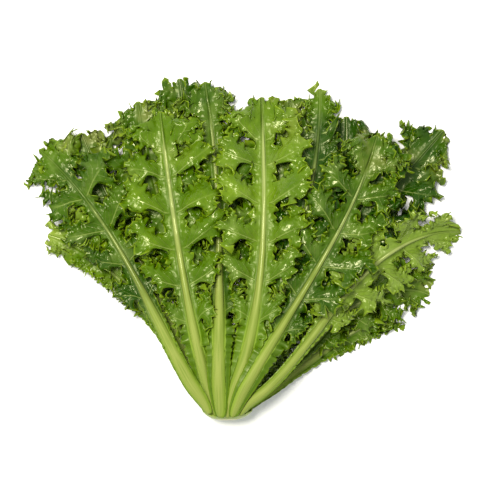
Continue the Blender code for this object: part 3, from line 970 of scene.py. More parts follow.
@dataclass
class CurlyLeaf:
    """One fine leaf, from its smooth sheet to its finished piece.

    Args:
        plan: the leaf's plan.
        index: its place in the pile, with the lowest leaf at 0.
    """

    plan: LeafPlan
    index: int
    shown: int = 11  # the place in the pile from which leaves are in full view
    clean: int = 13  # the place from which their stalks are too
    fine: Cell = (35, 27)  # cells across and outward of a lobe in full view
    coarse: Cell = (27, 21)  # and of any other lobe
    far: float = 50.0  # beyond any vein
    outer: float = 0.3  # only an outer leaf has a larger share of bare stalk
    bays: tuple[float, float, float] = (2.4, 5.5, 9.0)  # blade: in full view, outer, other
    bay_corners: Pair = (0.16, 0.22)  # how soon the bay leaves the lower and the upper lobe
    stalk_corner: float = 0.05  # how soon the frill leaves the lowest lobe
    sides_fall: float = 0.35  # slope of the blade beside the stalk
    blade: float = 0.6  # thickness
    crown: Pair = (-15.5, 18.6)  # centre, across and up
    half_bunch: float = 26.0
    gathered: float = 34.0  # length of the stalk that is drawn in
    drawn: tuple[float, float, float] = (0.24, 9.0, 0.16)  # inwards, down and level
    drawn_less: float = 0.6  # how much less the outermost stalks are drawn down
    blunt: Pair = (0.8, 8.0)  # how much the cut end is rounded, over which length
    wing: tuple[float, ...] = (1.1, 1.1, 0.6, 0.05)  # margin that is still rib, by the share
    wing_from: float = 0.14
    wing_near_bare: Pair = (-0.02, 0.13)
    slim: Pair = (1.0, 0.86)  # how the rib narrows
    slim_tip: Pair = (0.5, 0.14)  # at the tip, with what paleness adds
    slim_at: tuple[float, ...] = (0.3, 0.5, 0.86)
    least_rib: float = 1.2
    rib_fades: Pair = (0.85, 0.32)  # how much at the leaf's end, by which step
    root_swells: Pair = (0.45, 0.1)  # how much, up to which share
    stalk_to_rib: Pair = (0.28, 0.5)
    flat: Pair = (0.1, 0.45)  # where a round stalk turns into a ridged rib
    flat_lowers: float = 0.3
    roundness: Pair = (2.3, 1.6)  # of the rib, and what the stalk adds
    stands_out: Pair = (0.44, 1.12)  # the rib's middle and its thickness, for its height
    tip_points: float = 3.0
    strip: float = 4.5  # from the middle vein's root to the lobe
    strip_frill: float = 0.1
    light_from: Pair = (0.84, 0.98)
    pale_to: Pair = (0.22, 0.52)  # where the stalk's paleness gives way to the leaf's own
    pale_end: tuple[float, ...] = (0.5, 0.36, 0.1, 0.75)  # share, by paleness, span, loss

    def __post_init__(self) -> None:
        """Prepares the leaf's grid, its chance and its empty sheet."""
        self.frame_leaf = FrameLeaf(self.plan)
        across, outward = self.fine if self.index >= self.shown else self.coarse
        self.grid = LeafGrid(self.frame_leaf, across, outward)
        self.cell = self.frame_leaf.pitch / across
        self.chance = np.random.default_rng(1000 + self.plan.seed)
        shape = (self.grid.rows, self.grid.columns)
        self.along, self.aside, self.height = (np.zeros(shape) for _ in range(3))
        self.lobe_q, self.vein_out = np.zeros(shape), np.zeros(shape)
        self.thick = np.full(shape, self.blade)
        self.rib_place = np.full(shape, 2.0)
        self.vein_aside = np.full(shape, self.far)
        self.frill = np.ones(shape)
        if self.plan.bare > self.outer:
            self.stalk_side = StalkSide.BARE
        else:
            self.stalk_side = StalkSide.CLEAN if self.index >= self.clean else StalkSide.CURLY

    def build(self, pile: Pile, finish: bpy.types.Material) -> bpy.types.Object:
        """Models the leaf and lays it on the pile.

        Args:
            pile: what lies under and over it.
            finish: the leaves' material.

        Returns:
            The finished piece.
        """
        self.lay_sheet()
        ruffles = Ruffles(self)
        ruffles.cut_teeth()
        ruffles.grow(*pile.limits(self.index))
        modeller = Modeller(self.plan.name.replace("leaf_", "curly_leaf_"), self.grid.faces)
        piece = modeller.sheet()
        rows, columns = modeller.places(piece).T
        piece.data.vertices.foreach_set("co", (ruffles.points[rows, columns] * MM).ravel())
        for name, values in self.marks(ruffles.depth).items():
            modeller.note(piece, name, values[rows, columns])
        modeller.thicken(piece, self.thick[rows, columns])
        piece.data.shade_smooth()
        piece.data.materials.append(finish)
        upper = ruffles.points + np.array((0.0, 0.0, 0.5)) * self.thick[..., None]
        pile.top.add(cell_points(upper, self.grid.faces))
        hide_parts(self.plan.name)
        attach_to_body(piece, "root")
        return piece

    def marks(self, depth: np.ndarray) -> dict[str, np.ndarray]:
        """What the finish reads off the mesh.

        Args:
            depth: how far each place is from the free edge.

        Returns:
            A number or a vector for every place of the grid, by name.
        """
        plan = self.plan
        share = self.along / plan.length
        start, paler, span, loss = self.pale_end
        start += paler * plan.pale
        pale = plan.pale + (1.0 - plan.pale) * (1.0 - rise(share, *self.pale_to))
        return {
            "rib": self.rib_place,
            "share": share,
            "depth": depth,
            "tone": plan.tone + plan.light * rise(share, *self.light_from),
            "pale": pale * (1.0 - loss * rise(share, start, start + span)),
            "veins": np.stack((self.vein_out, self.vein_aside, self.along), axis=2),
        }

    def lay_sheet(self) -> None:
        """Places every grid point on a smooth sheet that follows the frame's leaf."""
        self.lay_strip()
        for side in (0, 1):
            self.lay_lobes(side)
        x, y = self.frame_leaf.course.place(self.along, self.aside)
        self.points = np.stack((x, y, self.height), axis=2)
        self.gather()

    def gather(self) -> None:
        """Draws the stalk's end in towards the crown."""
        across = self.points[..., 0] - self.crown[0]
        near = (1.0 - rise(self.along, 0.0, self.gathered)) ** 2
        outer = np.clip(across / self.half_bunch, -1.0, 1.0) ** 2
        self.points[..., 0] -= self.drawn[0] * across * near
        self.points[..., 1] -= self.drawn[1] * (1.0 - self.drawn_less * outer) * near
        self.points[..., 2] += self.drawn[2] * (self.crown[1] - self.points[..., 2]) * near

    def lay_strip(self) -> None:
        """Places the rib and the blade beside it."""
        grid, leaf, plan = self.grid, self.frame_leaf, self.plan
        along = np.array(grid.along)
        share = along / plan.length
        rib = SHAPE.rib_half(share)
        margin = SHAPE.margin(share, plan.bare)
        at_end = np.where([kind is Region.END for kind in grid.kind], grid.step, 0.0)
        narrows = 1.0 - SHAPE.end_narrows * at_end
        fading = 1.0 - self.rib_fades[0] * rise(at_end, 0.0, self.rib_fades[1])
        blunt = np.clip(1.0 - along / self.blunt[1], 0.0, 1.0) ** 2
        blunt = np.sqrt(1.0 - self.blunt[0] * blunt)
        wing_at = (0.0, self.wing_from, *(plan.bare + near for near in self.wing_near_bare))
        wing = np.interp(share, wing_at, self.wing)
        slim_tip = self.slim_tip[0] + self.slim_tip[1] * plan.pale
        slim = np.interp(share, self.slim_at, (*self.slim, slim_tip))
        wide = np.maximum((rib + margin * wing) * fading * slim, self.least_rib)
        flat = 1.0 - rise(share, *self.flat)
        ridge = SHAPE.ridge(share) * fading * blunt * (1.0 - self.flat_lowers * flat)
        broad = blunt * (1.0 + self.root_swells[0] * (1.0 - rise(share, 0.0, self.root_swells[1])))
        broad *= plan.stalk + (plan.rib - plan.stalk) * rise(share, *self.stalk_to_rib)
        heights = [spline(leaf.row_along, leaf.height[:, column], along) for column in range(2, 7)]
        inner = np.linspace(1.0, 0.0, grid.BESIDE + 2)[:-1]
        beyond = rib + margin - wide
        places = [-(wide + beyond * fraction) for fraction in inner]
        places += [wide * fraction for fraction in grid.RIB]
        places += [wide + beyond * fraction for fraction in inner[::-1]]
        for offset, place in enumerate(places):
            column = grid.outward + offset
            sideways = np.abs(place)
            side = 1 if offset > len(places) // 2 else -1
            middle, mid, outer = heights[2], heights[2 + side], heights[2 + 2 * side]
            on_rib = np.clip(sideways / rib, 0.0, 1.0)
            beside = np.clip((sideways - rib) / margin, 0.0, 1.0)
            hollow = np.clip(1.0 - (sideways / wide) ** self.roundness[0], 0.0, 1.0)
            raised = ridge * (hollow + (hollow ** self.roundness[1] - hollow) * flat)
            height = middle + (mid - middle) * on_rib + (outer - mid) * beside
            pointed = self.tip_points * at_end**4 * (sideways / (rib + margin)) ** 2
            self.along[:, column] = along - pointed
            self.aside[:, column] = place * narrows * broad
            self.height[:, column] = height + self.stands_out[0] * raised * plan.facing.value
            self.thick[:, column] = self.blade + self.stands_out[1] * raised
            self.rib_place[:, column] = np.clip(sideways / wide, 0.0, 1.5)
            self.frill[:, column] = self.strip_frill * rise(share, plan.bare - 0.1, plan.bare)

    def lay_lobes(self, side: int) -> None:
        """Places the lobes, the bays and the stalk's margin on one side of the rib.

        Args:
            side: 0 for the left and 1 for the right.
        """
        grid, plan = self.grid, self.plan
        outward = 1 if side else -1
        edge = grid.outward + (grid.centre - 1) * side
        chance = np.random.default_rng(500 + 10 * plan.seed + side)
        patches = [LobePatch(self.frame_leaf, pair, side, chance) for pair in range(plan.pairs + 1)]
        for row, (kind, pair, step) in enumerate(zip(grid.kind, grid.pair, grid.step)):
            start = self.along[row, edge], abs(self.aside[row, edge]), self.height[row, edge]
            wide = kind in (Region.LOBE, Region.END)
            q = grid.q if wide else grid.q[: grid.NARROW + 1]
            columns = edge + outward * np.arange(len(q))
            if wide:
                along, aside, height = patches[pair].read(step, q)
                out, beside = patches[pair].vein(step, q)
                self.frill[row, columns] = patches[pair].frill(step, q)
                self.lobe_q[row, columns] = q
                self.vein_out[row, columns] = self.strip + out
                self.vein_aside[row, columns] = beside
                inward = edge - outward * np.arange(1, 3)
                self.vein_out[row, inward] = 0.5 * self.strip, 0.0
                self.vein_aside[row, inward] = beside[0] + 0.9, beside[0] + 1.8
            elif kind is Region.SINUS:
                below, above = patches[pair].read(1.0, q), patches[pair + 1].read(0.0, q)
                along, aside, height = self.bay(step, q, below, above)
            else:
                along, aside, height = self.stalk_margin(step, q, patches[0].read(0.0, q))
                self.frill[row, columns] = np.interp(step, UP_STALK, self.stalk_side.value[1])
            if kind is Region.STALK or (kind is Region.SINUS and step > 0.5):
                self.vein_aside[row, columns] = -self.far
            self.along[row, columns] = start[0] + along
            self.aside[row, columns] = outward * (start[1] + aside)
            self.height[row, columns] = start[2] + height

    def bay(self, step: float, q: np.ndarray, below: Places, above: Places) -> Places:
        """The blade between two lobes: a rounded bay with a low frill along its bottom.

        Args:
            step: 0 at the lower lobe and 1 at the upper one.
            q: the places' own, from the blade's edge beside the rib.
            below: the upper edge of the lower lobe at each q.
            above: the lower edge of the upper lobe at each q.

        Returns:
            How far along and aside, and how high, each place is.
        """
        shown, outer, other = self.bays
        least = shown if self.index >= self.shown else outer if self.plan.bare > self.outer else other
        ease = float(rise(step, 0.0, 1.0))
        narrow = least * q / q[-1]
        near_low = math.exp(-step / self.bay_corners[0])
        near_high = math.exp(-(1.0 - step) / self.bay_corners[1])
        aside = narrow + (below[1] - narrow) * near_low + (above[1] - narrow) * near_high
        along = below[0] * (1.0 - ease) + above[0] * ease
        along = along * aside / np.maximum(below[1] * (1.0 - ease) + above[1] * ease, 0.01)
        return along, aside, below[2] * near_low + above[2] * near_high

    def stalk_margin(self, step: float, q: np.ndarray, above: Places) -> Places:
        """The frill that runs down both sides of the stalk.

        Args:
            step: 0 at the cut end and 1 at the lowest lobe.
            q: the places' own, from the blade's edge beside the rib.
            above: the lower edge of the lowest lobe at each q.

        Returns:
            How far along and aside, and how high, each place is.
        """
        near = math.exp(-(1.0 - step) / self.stalk_corner)
        wide = np.interp(step, UP_STALK, self.stalk_side.value[0]) * q / q[-1] * (1.0 - near)
        return above[0] * near, wide + above[1] * near, above[2] * near - self.sides_fall * wide


@dataclass
class Ruffles:
    """Cuts the teeth of a leaf's margin and lets its overlong edge buckle.

    Args:
        leaf: the leaf, with its smooth sheet laid.
    """

    leaf: CurlyLeaf
    tooth: float = 0.42  # height of a tooth for its pitch
    tooth_cells: float = 3.3  # pitch in cells
    least_pitch: float = 3.7
    tooth_sharp: float = 1.2
    tooth_base: float = 0.45
    drift: Pair = (17.0, 0.35)  # over which length and by how much the pitch drifts
    uneven: Pair = (9.0, 0.6)  # and the height of the teeth
    wavy: Pair = (9.0, 1.7)  # and the edge itself
    near_rib: Pair = (0.45, 0.4)  # strength of the teeth near the rib, up to which q
    softened: float = 0.7  # how much of a tooth's shift the places next to the edge share
    spreads: int = 40  # the most rounds that measuring the depth takes
    closer_by: float = 1.0e-6  # the least gain that counts in them
    least_gap: float = 1.0e-3  # between two neighbours
    growth: Pair = (2.0, 0.48)  # of the edge, less by calm
    growth_depth: Pair = (5.075, 1.575)  # how deep it goes, less by calm
    growth_power: float = 1.4
    broad: Pair = (0.4, 0.22)  # growth further in, less by calm
    broad_depth: float = 8.0
    steps: int = 100
    stretch: float = 1.68
    bend: float = 0.07
    loose: float = 0.02  # how firmly the edge is held to the smooth sheet
    firm: Pair = (0.07, 0.15)  # and the middle of a lobe more, with what calm adds
    firm_from: Pair = (5.0, 14.0)
    held_strip: float = 0.35
    held_rib: float = 0.6
    held_root: float = 0.12
    root_to: float = 0.21  # the share of the stalk that may touch its neighbours
    waves: tuple[Pair, ...] = ((9.0, 1.3), (5.0, 0.7))  # length and height of the first waves
    wave_drift: Pair = (17.0, 1.8)
    wave_depth: float = 3.6

    def __post_init__(self) -> None:
        """Measures the leaf's grid."""
        self.points = self.leaf.points
        self.links = Links(self.leaf.grid.faces)
        self.rim = Rim(self.points, self.leaf.grid.faces)
        self.calm = self.leaf.plan.calm
        self.normal = self.normals()

    def normals(self) -> np.ndarray:
        """Finds which way the sheet faces.

        Returns:
            Unit normals, pointing up.
        """
        across, along = np.zeros_like(self.points), np.zeros_like(self.points)
        for total, (first, second, mask) in zip((across, along), self.links.straight):
            gap = (self.points[second] - self.points[first]) * mask[..., None]
            total[first] += gap
            total[second] += gap
        normal = np.cross(across, along)
        length = np.linalg.norm(normal, axis=2, keepdims=True)
        return np.where(length > TINY, normal / np.maximum(length, TINY), (0.0, 0.0, 1.0))

    def wander(self, walked: np.ndarray, pitch: float, size: float) -> np.ndarray:
        """A smooth random course along the edge.

        Args:
            walked: how far along the edge it is read.
            pitch: how far apart its turns are.
            size: its largest value.

        Returns:
            Its value at each place.
        """
        values = self.leaf.chance.uniform(-size, size, int(walked.max() / pitch) + 3)
        place = walked / pitch
        low = place.astype(int)
        return values[low] + (values[low + 1] - values[low]) * rise(place - low, 0.0, 1.0)

    def cut_teeth(self) -> None:
        """Moves the edge out at the teeth and in between them."""
        moved = np.zeros_like(self.points)
        pitch = max(self.least_pitch, self.tooth_cells * self.leaf.cell)
        least, full = self.near_rib
        for rows, columns in self.rim.loops:
            walked = self.rim.walked[rows, columns]
            phase = walked / pitch + self.wander(walked, *self.drift)
            tooth = 1.0 - np.abs(2.0 * (phase % 1.0) - 1.0)
            tall = self.tooth * pitch * (1.0 + self.wander(walked, *self.uneven))
            amount = tall * (tooth**self.tooth_sharp - self.tooth_base)
            amount += self.wander(walked, *self.wavy)
            amount *= least + (1.0 - least) * rise(self.leaf.lobe_q[rows, columns], 0.0, full)
            amount *= self.leaf.frill[rows, columns]
            moved[rows, columns] = self.outwards(rows, columns) * amount[:, None]
        rim = self.links.rim[..., None]
        inner = moved
        for _ in range(2):
            inner = np.where(rim, moved, self.links.laplacian(inner) + inner)
        self.points = self.points + np.where(rim, moved, self.softened * inner)

    def outwards(self, rows: np.ndarray, columns: np.ndarray) -> np.ndarray:
        """The direction out of the blade at every place of a loop.

        Args:
            rows: the row of each place.
            columns: the column of each place.

        Returns:
            Unit vectors, one row each.
        """
        places = self.points[rows, columns]
        along = np.roll(places, -1, axis=0) - np.roll(places, 1, axis=0)
        aim = np.cross(along, self.normal[rows, columns])
        aim /= np.maximum(np.linalg.norm(aim, axis=1, keepdims=True), TINY)
        inward = self.links.laplacian(self.points)[rows, columns]
        turned = np.median(np.sign((aim * inward).sum(axis=1))) > 0.0
        return -aim if turned else aim

    def measure_depth(self) -> None:
        """Finds how far each place is from the free edge, and the edge's nearest place."""
        depth = np.where(self.links.rim, 0.0, NOWHERE)
        walked = self.rim.walked.copy()
        for _ in range(self.spreads):
            before = depth.copy()
            for first, second, mask in self.links.all:
                gap = np.linalg.norm(self.points[second] - self.points[first], axis=2)
                gap = np.where(mask, gap, NOWHERE)
                for here, there in ((first, second), (second, first)):
                    closer = depth[there] + gap < depth[here] - self.closer_by
                    depth[here] = np.where(closer, depth[there] + gap, depth[here])
                    walked[here] = np.where(closer, walked[there], walked[here])
            if np.array_equal(before, depth):
                break
        self.depth = np.where(self.links.used, depth, 0.0)
        self.nearest = walked

    def grow(self, floor: np.ndarray, ceiling: np.ndarray) -> None:
        """Lengthens the margin and lets the sheet find room for it.

        Args:
            floor: the lowest height allowed over each cell of the table.
            ceiling: the highest height allowed over each cell.
        """
        self.measure_depth()
        growth, reach, broad = (
            most - less * self.calm for most, less in (self.growth, self.growth_depth, self.broad)
        )
        extra = growth * np.exp(-((self.depth / reach) ** self.growth_power))
        extra = self.leaf.frill * (extra + broad * np.exp(-self.depth / self.broad_depth))
        rests = []
        for first, second, _ in self.links.all:
            gap = np.linalg.norm(self.points[second] - self.points[first], axis=2)
            gap = np.maximum(gap, self.least_gap)
            slope = np.abs(self.depth[second] - self.depth[first]) / gap
            level = np.clip(1.0 - slope**2, 0.0, 1.0)
            rests.append(gap * (1.0 + 0.5 * (extra[first] + extra[second]) * level))
        self.start_waves()
        home, held = self.points, self.hold()
        count = self.links.count(self.links.all)
        for _ in range(self.steps):
            points = self.points
            push = np.zeros_like(points)
            for (first, second, mask), rest in zip(self.links.all, rests):
                gap = points[second] - points[first]
                length = np.maximum(np.linalg.norm(gap, axis=2), TINY)
                change = 0.5 * np.where(mask, 1.0 - rest / length, 0.0)[..., None] * gap
                push[first] += change
                push[second] -= change
            points = points + self.stretch * push / count * (1.0 - held)
            bent = self.links.laplacian(self.links.laplacian(points))
            points = points - self.bend * bent * (1.0 - held)
            self.points = points + held * (home - points)
            self.keep_apart(floor, ceiling)

    def keep_apart(self, floor: np.ndarray, ceiling: np.ndarray) -> None:
        """Keeps the heights between the leaves below and above, except near the cut end.

        Args:
            floor: the lowest height allowed over each cell of the table.
            ceiling: the highest height allowed over each cell.
        """
        cells = HeightMap.cells(self.points[..., 0], self.points[..., 1])
        half = 0.5 * self.leaf.thick
        height = self.points[..., 2]
        kept = np.maximum(np.minimum(height, ceiling[cells] - half), floor[cells] + half)
        self.points[..., 2] = np.where(self.root, height, kept)

    def hold(self) -> np.ndarray:
        """Notes where the stalk's root is and holds the places to the smooth sheet.

        Returns:
            How firmly each of them is held, from 0 to 1.
        """
        grid, place = self.leaf.grid, self.leaf.rib_place
        firm = self.firm[0] + self.firm[1] * self.calm
        held = self.loose + firm * rise(self.depth, *self.firm_from)
        held = np.where(place < 1.9, self.held_strip, held)
        held = np.where(place < 1.01, self.held_rib, held)
        near = np.array(grid.along) < self.root_to * self.leaf.plan.length
        near &= [kind is Region.STALK for kind in grid.kind]
        self.root = near[:, None]
        return np.where(self.root, np.maximum(held, self.held_root), held)[..., None]

    def start_waves(self) -> None:
        """Gives the edge its first small waves, which growth makes deeper."""
        walked = self.nearest
        drift = self.wander(walked.ravel(), *self.wave_drift).reshape(walked.shape)
        loose = 1.6 - 0.6 * self.calm
        (long, tall), (short, low) = self.waves
        wave = tall * np.sin(2.0 * math.pi * walked / long + drift)
        wave += low * np.sin(2.0 * math.pi * walked / short + 1.7 * drift)
        wave *= np.exp(-self.depth / (self.wave_depth * loose)) * self.leaf.frill * loose
        self.points = self.points + self.normal * wave[..., None]


def srgb(red: int, green: int, blue: int) -> Colour:
    """A colour as the linear values that a shader takes.

    Args:
        red: from 0 to 255, as on a screen.
        green: likewise.
        blue: likewise.

    Returns:
        Red, green, blue and a full alpha.
    """
    parts = []
    for part in (red, green, blue):
        share = part / 255.0
        low = share / 12.92
        parts.append(low if share <= 0.04045 else ((share + 0.055) / 1.055) ** 2.4)
    return (*parts, 1.0)


class Shade:
    """A number that varies over a surface. Sums on it add the nodes they need."""

    def __init__(self, bench: "Bench", socket: bpy.types.NodeSocket) -> None:
        """Keeps the socket that the number comes from."""
        self.bench = bench
        self.socket = socket

    def math(self, operation: str, *others: "Shade | float") -> "Shade":
        """This number and others put through one Math node."""
        values = {index: value for index, value in enumerate((self, *others))}
        return self.bench.node("ShaderNodeMath", {"operation": operation}, values)

    def __add__(self, other: "Shade | float") -> "Shade":
        """The sum."""
        return self.math("ADD", other)

    __radd__ = __add__

    def __sub__(self, other: "Shade | float") -> "Shade":
        """The difference."""
        return self.math("SUBTRACT", other)

    def __rsub__(self, other: float) -> "Shade":
        """The difference, the other way round."""
        return (self * -1.0) + other

    def __mul__(self, other: "Shade | float") -> "Shade":
        """The product."""
        return self.math("MULTIPLY", other)

    __rmul__ = __mul__

    def __abs__(self) -> "Shade":
        """The size without the sign."""
        return self.math("ABSOLUTE")

    def ramp(self, low: float, high: float, start: float = 0.0, end: float = 1.0) -> "Shade":
        """Turns this number into a smooth change from one number to another.

        Args:
            low: where the change starts.
            high: where it ends.
            start: the number up to low.
            end: the number from high on.

        Returns:
            The changed number.
        """
        values = {0: self, 1: low, 2: high, 3: start, 4: end}
        settings = {"interpolation_type": "SMOOTHSTEP"}
        return self.bench.node("ShaderNodeMapRange", settings, values)


class Bench:
    """Where one material's nodes are put together."""

    def __init__(self, name: str) -> None:
        """Starts a material with a Principled shader.

        Args:
            name: the material's name.
        """
        self.material = bpy.data.materials.new(name)
        self.material.use_nodes = True
        self.tree = self.material.node_tree
        self.shader = self.tree.nodes["Principled BSDF"]

    def node(
        self,
        kind: str,
        settings: dict[str, str],
        values: dict[int | str, Shade | float | Colour],
        output: int | str = 0,
    ) -> Shade:
        """Adds one node.

        Args:
            kind: the node's type.
            settings: its own properties, set before its sockets.
            values: a number, a colour or a Shade for each input, by index or name.
            output: which output is wanted.

        Returns:
            The wanted output.
        """
        made = self.tree.nodes.new(kind)
        for name, value in settings.items():
            setattr(made, name, value)
        for key, value in values.items():
            if isinstance(value, Shade):
                self.tree.links.new(value.socket, made.inputs[key])
            else:
                made.inputs[key].default_value = value
        return Shade(self, made.outputs[output])

    def number(self, name: str) -> Shade:
        """A number stored on the mesh."""
        return self.node("ShaderNodeAttribute", {"attribute_name": name}, {}, "Fac")

    def parts(self, name: str) -> tuple[Shade, Shade, Shade]:
        """The three numbers of a place stored on the mesh."""
        whole = self.node("ShaderNodeAttribute", {"attribute_name": name}, {}, "Vector")
        return tuple(self.node("ShaderNodeSeparateXYZ", {}, {0: whole}, part) for part in range(3))

    def place(self) -> Shade:
        """The place on the object, in metres."""
        return self.node("ShaderNodeTexCoord", {}, {}, "Object")

    def noise(self, pitch: float, detail: float = 2.0, place: Shade | None = None) -> Shade:
        """Adds cloudy noise.

        Args:
            pitch: about how far apart its blots are.
            detail: how many finer layers it has.
            place: where it is read, or on the object itself.

        Returns:
            A number from 0 to 1.
        """
        where = place or self.place()
        values = {"Vector": where, "Scale": 1.0 / (pitch * MM), "Detail": detail}
        return self.node("ShaderNodeTexNoise", {"noise_dimensions": "3D"}, values, "Fac")

    def mix(self, share: Shade, first: Shade | Colour, second: Shade | Colour) -> Shade:
        """The second colour laid over the first, as far as the share says."""
        values = {0: share, 6: first, 7: second}
        return self.node("ShaderNodeMix", {"data_type": "RGBA"}, values, 2)

    def feed(self, name: str, value: Shade) -> None:
        """Lets a value that varies reach the shader."""
        self.tree.links.new(value.socket, self.shader.inputs[name])

    def bump(self, height: Shade, strength: float, distance: float) -> None:
        """Lets a height, in the given millimetres, disturb the surface."""
        values = {"Strength": strength, "Distance": distance * MM, "Height": height}
        self.feed("Normal", self.node("ShaderNodeBump", {}, values))


@dataclass(frozen=True)
class LeafFinish:
    """Wet green blade with pale ribs and veins, and a pale smooth stalk."""

    deep: Colour = srgb(30, 65, 0)
    middle: Colour = srgb(68, 100, 0)
    light: Colour = srgb(102, 131, 12)
    # grey green: painted sheen in blotches on the lobes, and the greyer green of the lightest leaves
    grey: Colour = srgb(116, 136, 62)
    tan: Colour = srgb(124, 122, 66)
    yellowed: Colour = srgb(186, 204, 60)
    # paler green at the free edge: partly the margin's own colour, partly painted light on frill edges
    # that catch the lamp
    rim: Colour = srgb(128, 152, 20)
    vein: Colour = srgb(150, 168, 84)
    stalk_green: Colour = srgb(84, 114, 4)
    flank: Colour = srgb(118, 144, 38)
    rib_low: Colour = srgb(136, 148, 66)
    rib_high: Colour = srgb(156, 166, 96)
    rough: float = 0.24
    rough_varies: float = 0.1
    rib_rough: float = 0.5
    specular: float = 0.36
    specular_tint: Colour = (1.0, 1.0, 0.6, 1.0)
    cloud: float = 30.0  # pitch of the light and dark clouds
    sheen_pitch: float = 19.0  # pitch of the blotches of painted sheen
    speck: float = 5.0
    fold: float = 9.0
    pebble: float = 3.6
    relief: float = 0.85

    def material(self) -> bpy.types.Material:
        """Puts the finish together.

        Returns:
            The material.
        """
        bench = Bench("leaf_finish")
        rib, share, depth, tone = (bench.number(name) for name in ("rib", "share", "depth", "tone"))
        out, beside, along = bench.parts("veins")
        veins = self.veins(out, beside, depth)
        clouds, specks = bench.noise(self.cloud, 3.0), bench.noise(self.speck, 3.0)
        low = share.ramp(0.25, 0.6, 0.35, 0.0)
        level = tone + (clouds - 0.5) + (specks - 0.5) * 0.25 - low
        # painted sheen: grey blotches that stand for the lobes' gloss, less on the darker leaves
        sheen = bench.noise(self.sheen_pitch, 2.0).ramp(0.5, 0.75) * tone.ramp(-0.5, 0.4, 0.0, 0.38)
        young = share.ramp(0.16, 0.42, 0.8, 0.0) * rib.ramp(1.05, 1.9, 1.0, 0.75)
        layers = (
            (level.ramp(0.4, 1.1), self.light),
            (sheen + tone.ramp(0.6, 1.1) * 0.4, self.grey),
            (share.ramp(0.78, 1.0) * clouds.ramp(0.5, 0.68) * 0.5, self.tan),
            (level.ramp(1.5, 2.4, 0.0, 0.7), self.yellowed),
            (veins * 0.42, self.vein),
            # paler towards the free edge: the margin's own colour with painted light on the frill edges
            (depth.ramp(0.2, 1.8, 0.52, 0.0), self.rim),
            (young, self.stalk_green),
            (rib.ramp(1.0, 1.4, 1.0, 0.0) * share.ramp(0.2, 0.45, 1.0, 0.0), self.flank),
        )
        blade = bench.mix(level.ramp(-0.15, 0.5), self.deep, self.middle)
        for cover, colour in layers:
            blade = bench.mix(cover, blade, colour)
        grain = bench.node("ShaderNodeCombineXYZ", {}, {0: rib * 5.0, 1: along * 0.035, 2: tone * 9.0})
        streak = bench.noise(1.0 / MM, 2.0, grain).ramp(0.35, 0.72, 0.0, 0.5)
        ribs = bench.mix(share.ramp(0.45, 0.7), self.rib_low, self.rib_high)
        ribs = bench.mix(streak, ribs, self.stalk_green)
        on_rib = ((rib - share.ramp(0.25, 0.5, 0.25, 0.45)) * (1.0 / 0.75)).ramp(0.0, 1.0, 1.0, 0.0)
        bench.feed("Base Color", bench.mix(on_rib * bench.number("pale"), blade, ribs))
        rough = specks.ramp(0.25, 0.75, self.rough - self.rough_varies, self.rough + self.rough_varies)
        off_rib = rib.ramp(1.0, 1.85)
        dull = rib.ramp(0.7, 1.0, 1.0, 0.0) * share.ramp(0.32, 0.5, 0.0, 0.24)
        dull = share.ramp(0.25, 0.45, 0.16, 0.0) - dull
        bench.feed("Roughness", rough * off_rib + (1.0 - off_rib) * self.rib_rough + dull)
        bench.shader.inputs["Specular IOR Level"].default_value = self.specular
        bench.shader.inputs["Specular Tint"].default_value = self.specular_tint
        height = bench.noise(self.pebble, 0.6) * 0.75 + bench.noise(self.fold, 1.5) * 2.0 + veins * 0.7
        height = height * rib.ramp(0.85, 1.25, 0.07, 1.0) * share.ramp(0.2, 0.45, 0.3, 1.0)
        bench.bump(height, self.relief, 1.0)
        return bench.material

    @staticmethod
    def veins(out: Shade, beside: Shade, depth: Shade) -> Shade:
        """The veins of the lobes.

        Args:
            out: how far out along the lobe's middle vein a place is.
            beside: how far beside the middle vein it is.
            depth: how far it is from the free edge.

        Returns:
            1 on the middle vein and its branches, fading towards the margin.
        """
        aside = abs(beside)
        middle = aside.ramp(0.3, 1.05, 1.0, 0.0)
        turn = ((out - aside * 0.9) * (1.0 / 6.2)).math("FRACT")
        branch = abs(turn - 0.5).ramp(0.02, 0.08, 0.75, 0.0) * aside.ramp(6.0, 13.0, 1.0, 0.0)
        both = middle.math("MAXIMUM", branch)
        return both * out.ramp(0.5, 3.0) * out.ramp(9.0, 30.0, 1.0, 0.3) * depth.ramp(0.8, 4.5)


@dataclass(frozen=True)
class CrownFinish:
    """The pale, faintly streaked flesh of the cut end."""

    flesh: Colour = srgb(124, 146, 52)
    pale: Colour = srgb(150, 164, 76)
    shaded: Colour = srgb(104, 136, 24)
    cut: Colour = srgb(206, 198, 146)
    browned: Colour = srgb(150, 118, 66)
    specular: float = 0.42

    def material(self) -> bpy.types.Material:
        """Puts the finish together.

        Returns:
            The material.
        """
        bench = Bench("crown_finish")
        streak = bench.noise(4.0, 3.0)
        skin = bench.mix(streak.ramp(0.3, 0.75), self.flesh, self.pale)
        skin = bench.mix(bench.number("furrow").ramp(0.0, 1.0, 0.0, 0.55), skin, self.shaded)
        face = bench.mix(bench.noise(2.2, 3.0).ramp(0.45, 0.8, 0.0, 0.7), self.cut, self.browned)
        on_cut = bench.number("inward").ramp(0.3, 1.4, 1.0, 0.0)
        bench.feed("Base Color", bench.mix(on_cut, skin, face))
        bench.feed("Roughness", streak.ramp(0.2, 0.8, 0.3, 0.5))
        bench.shader.inputs["Specular IOR Level"].default_value = self.specular
        bench.bump(streak * 0.6 + bench.noise(1.4, 2.0) * 0.3, 0.4, 0.6)
        return bench.material


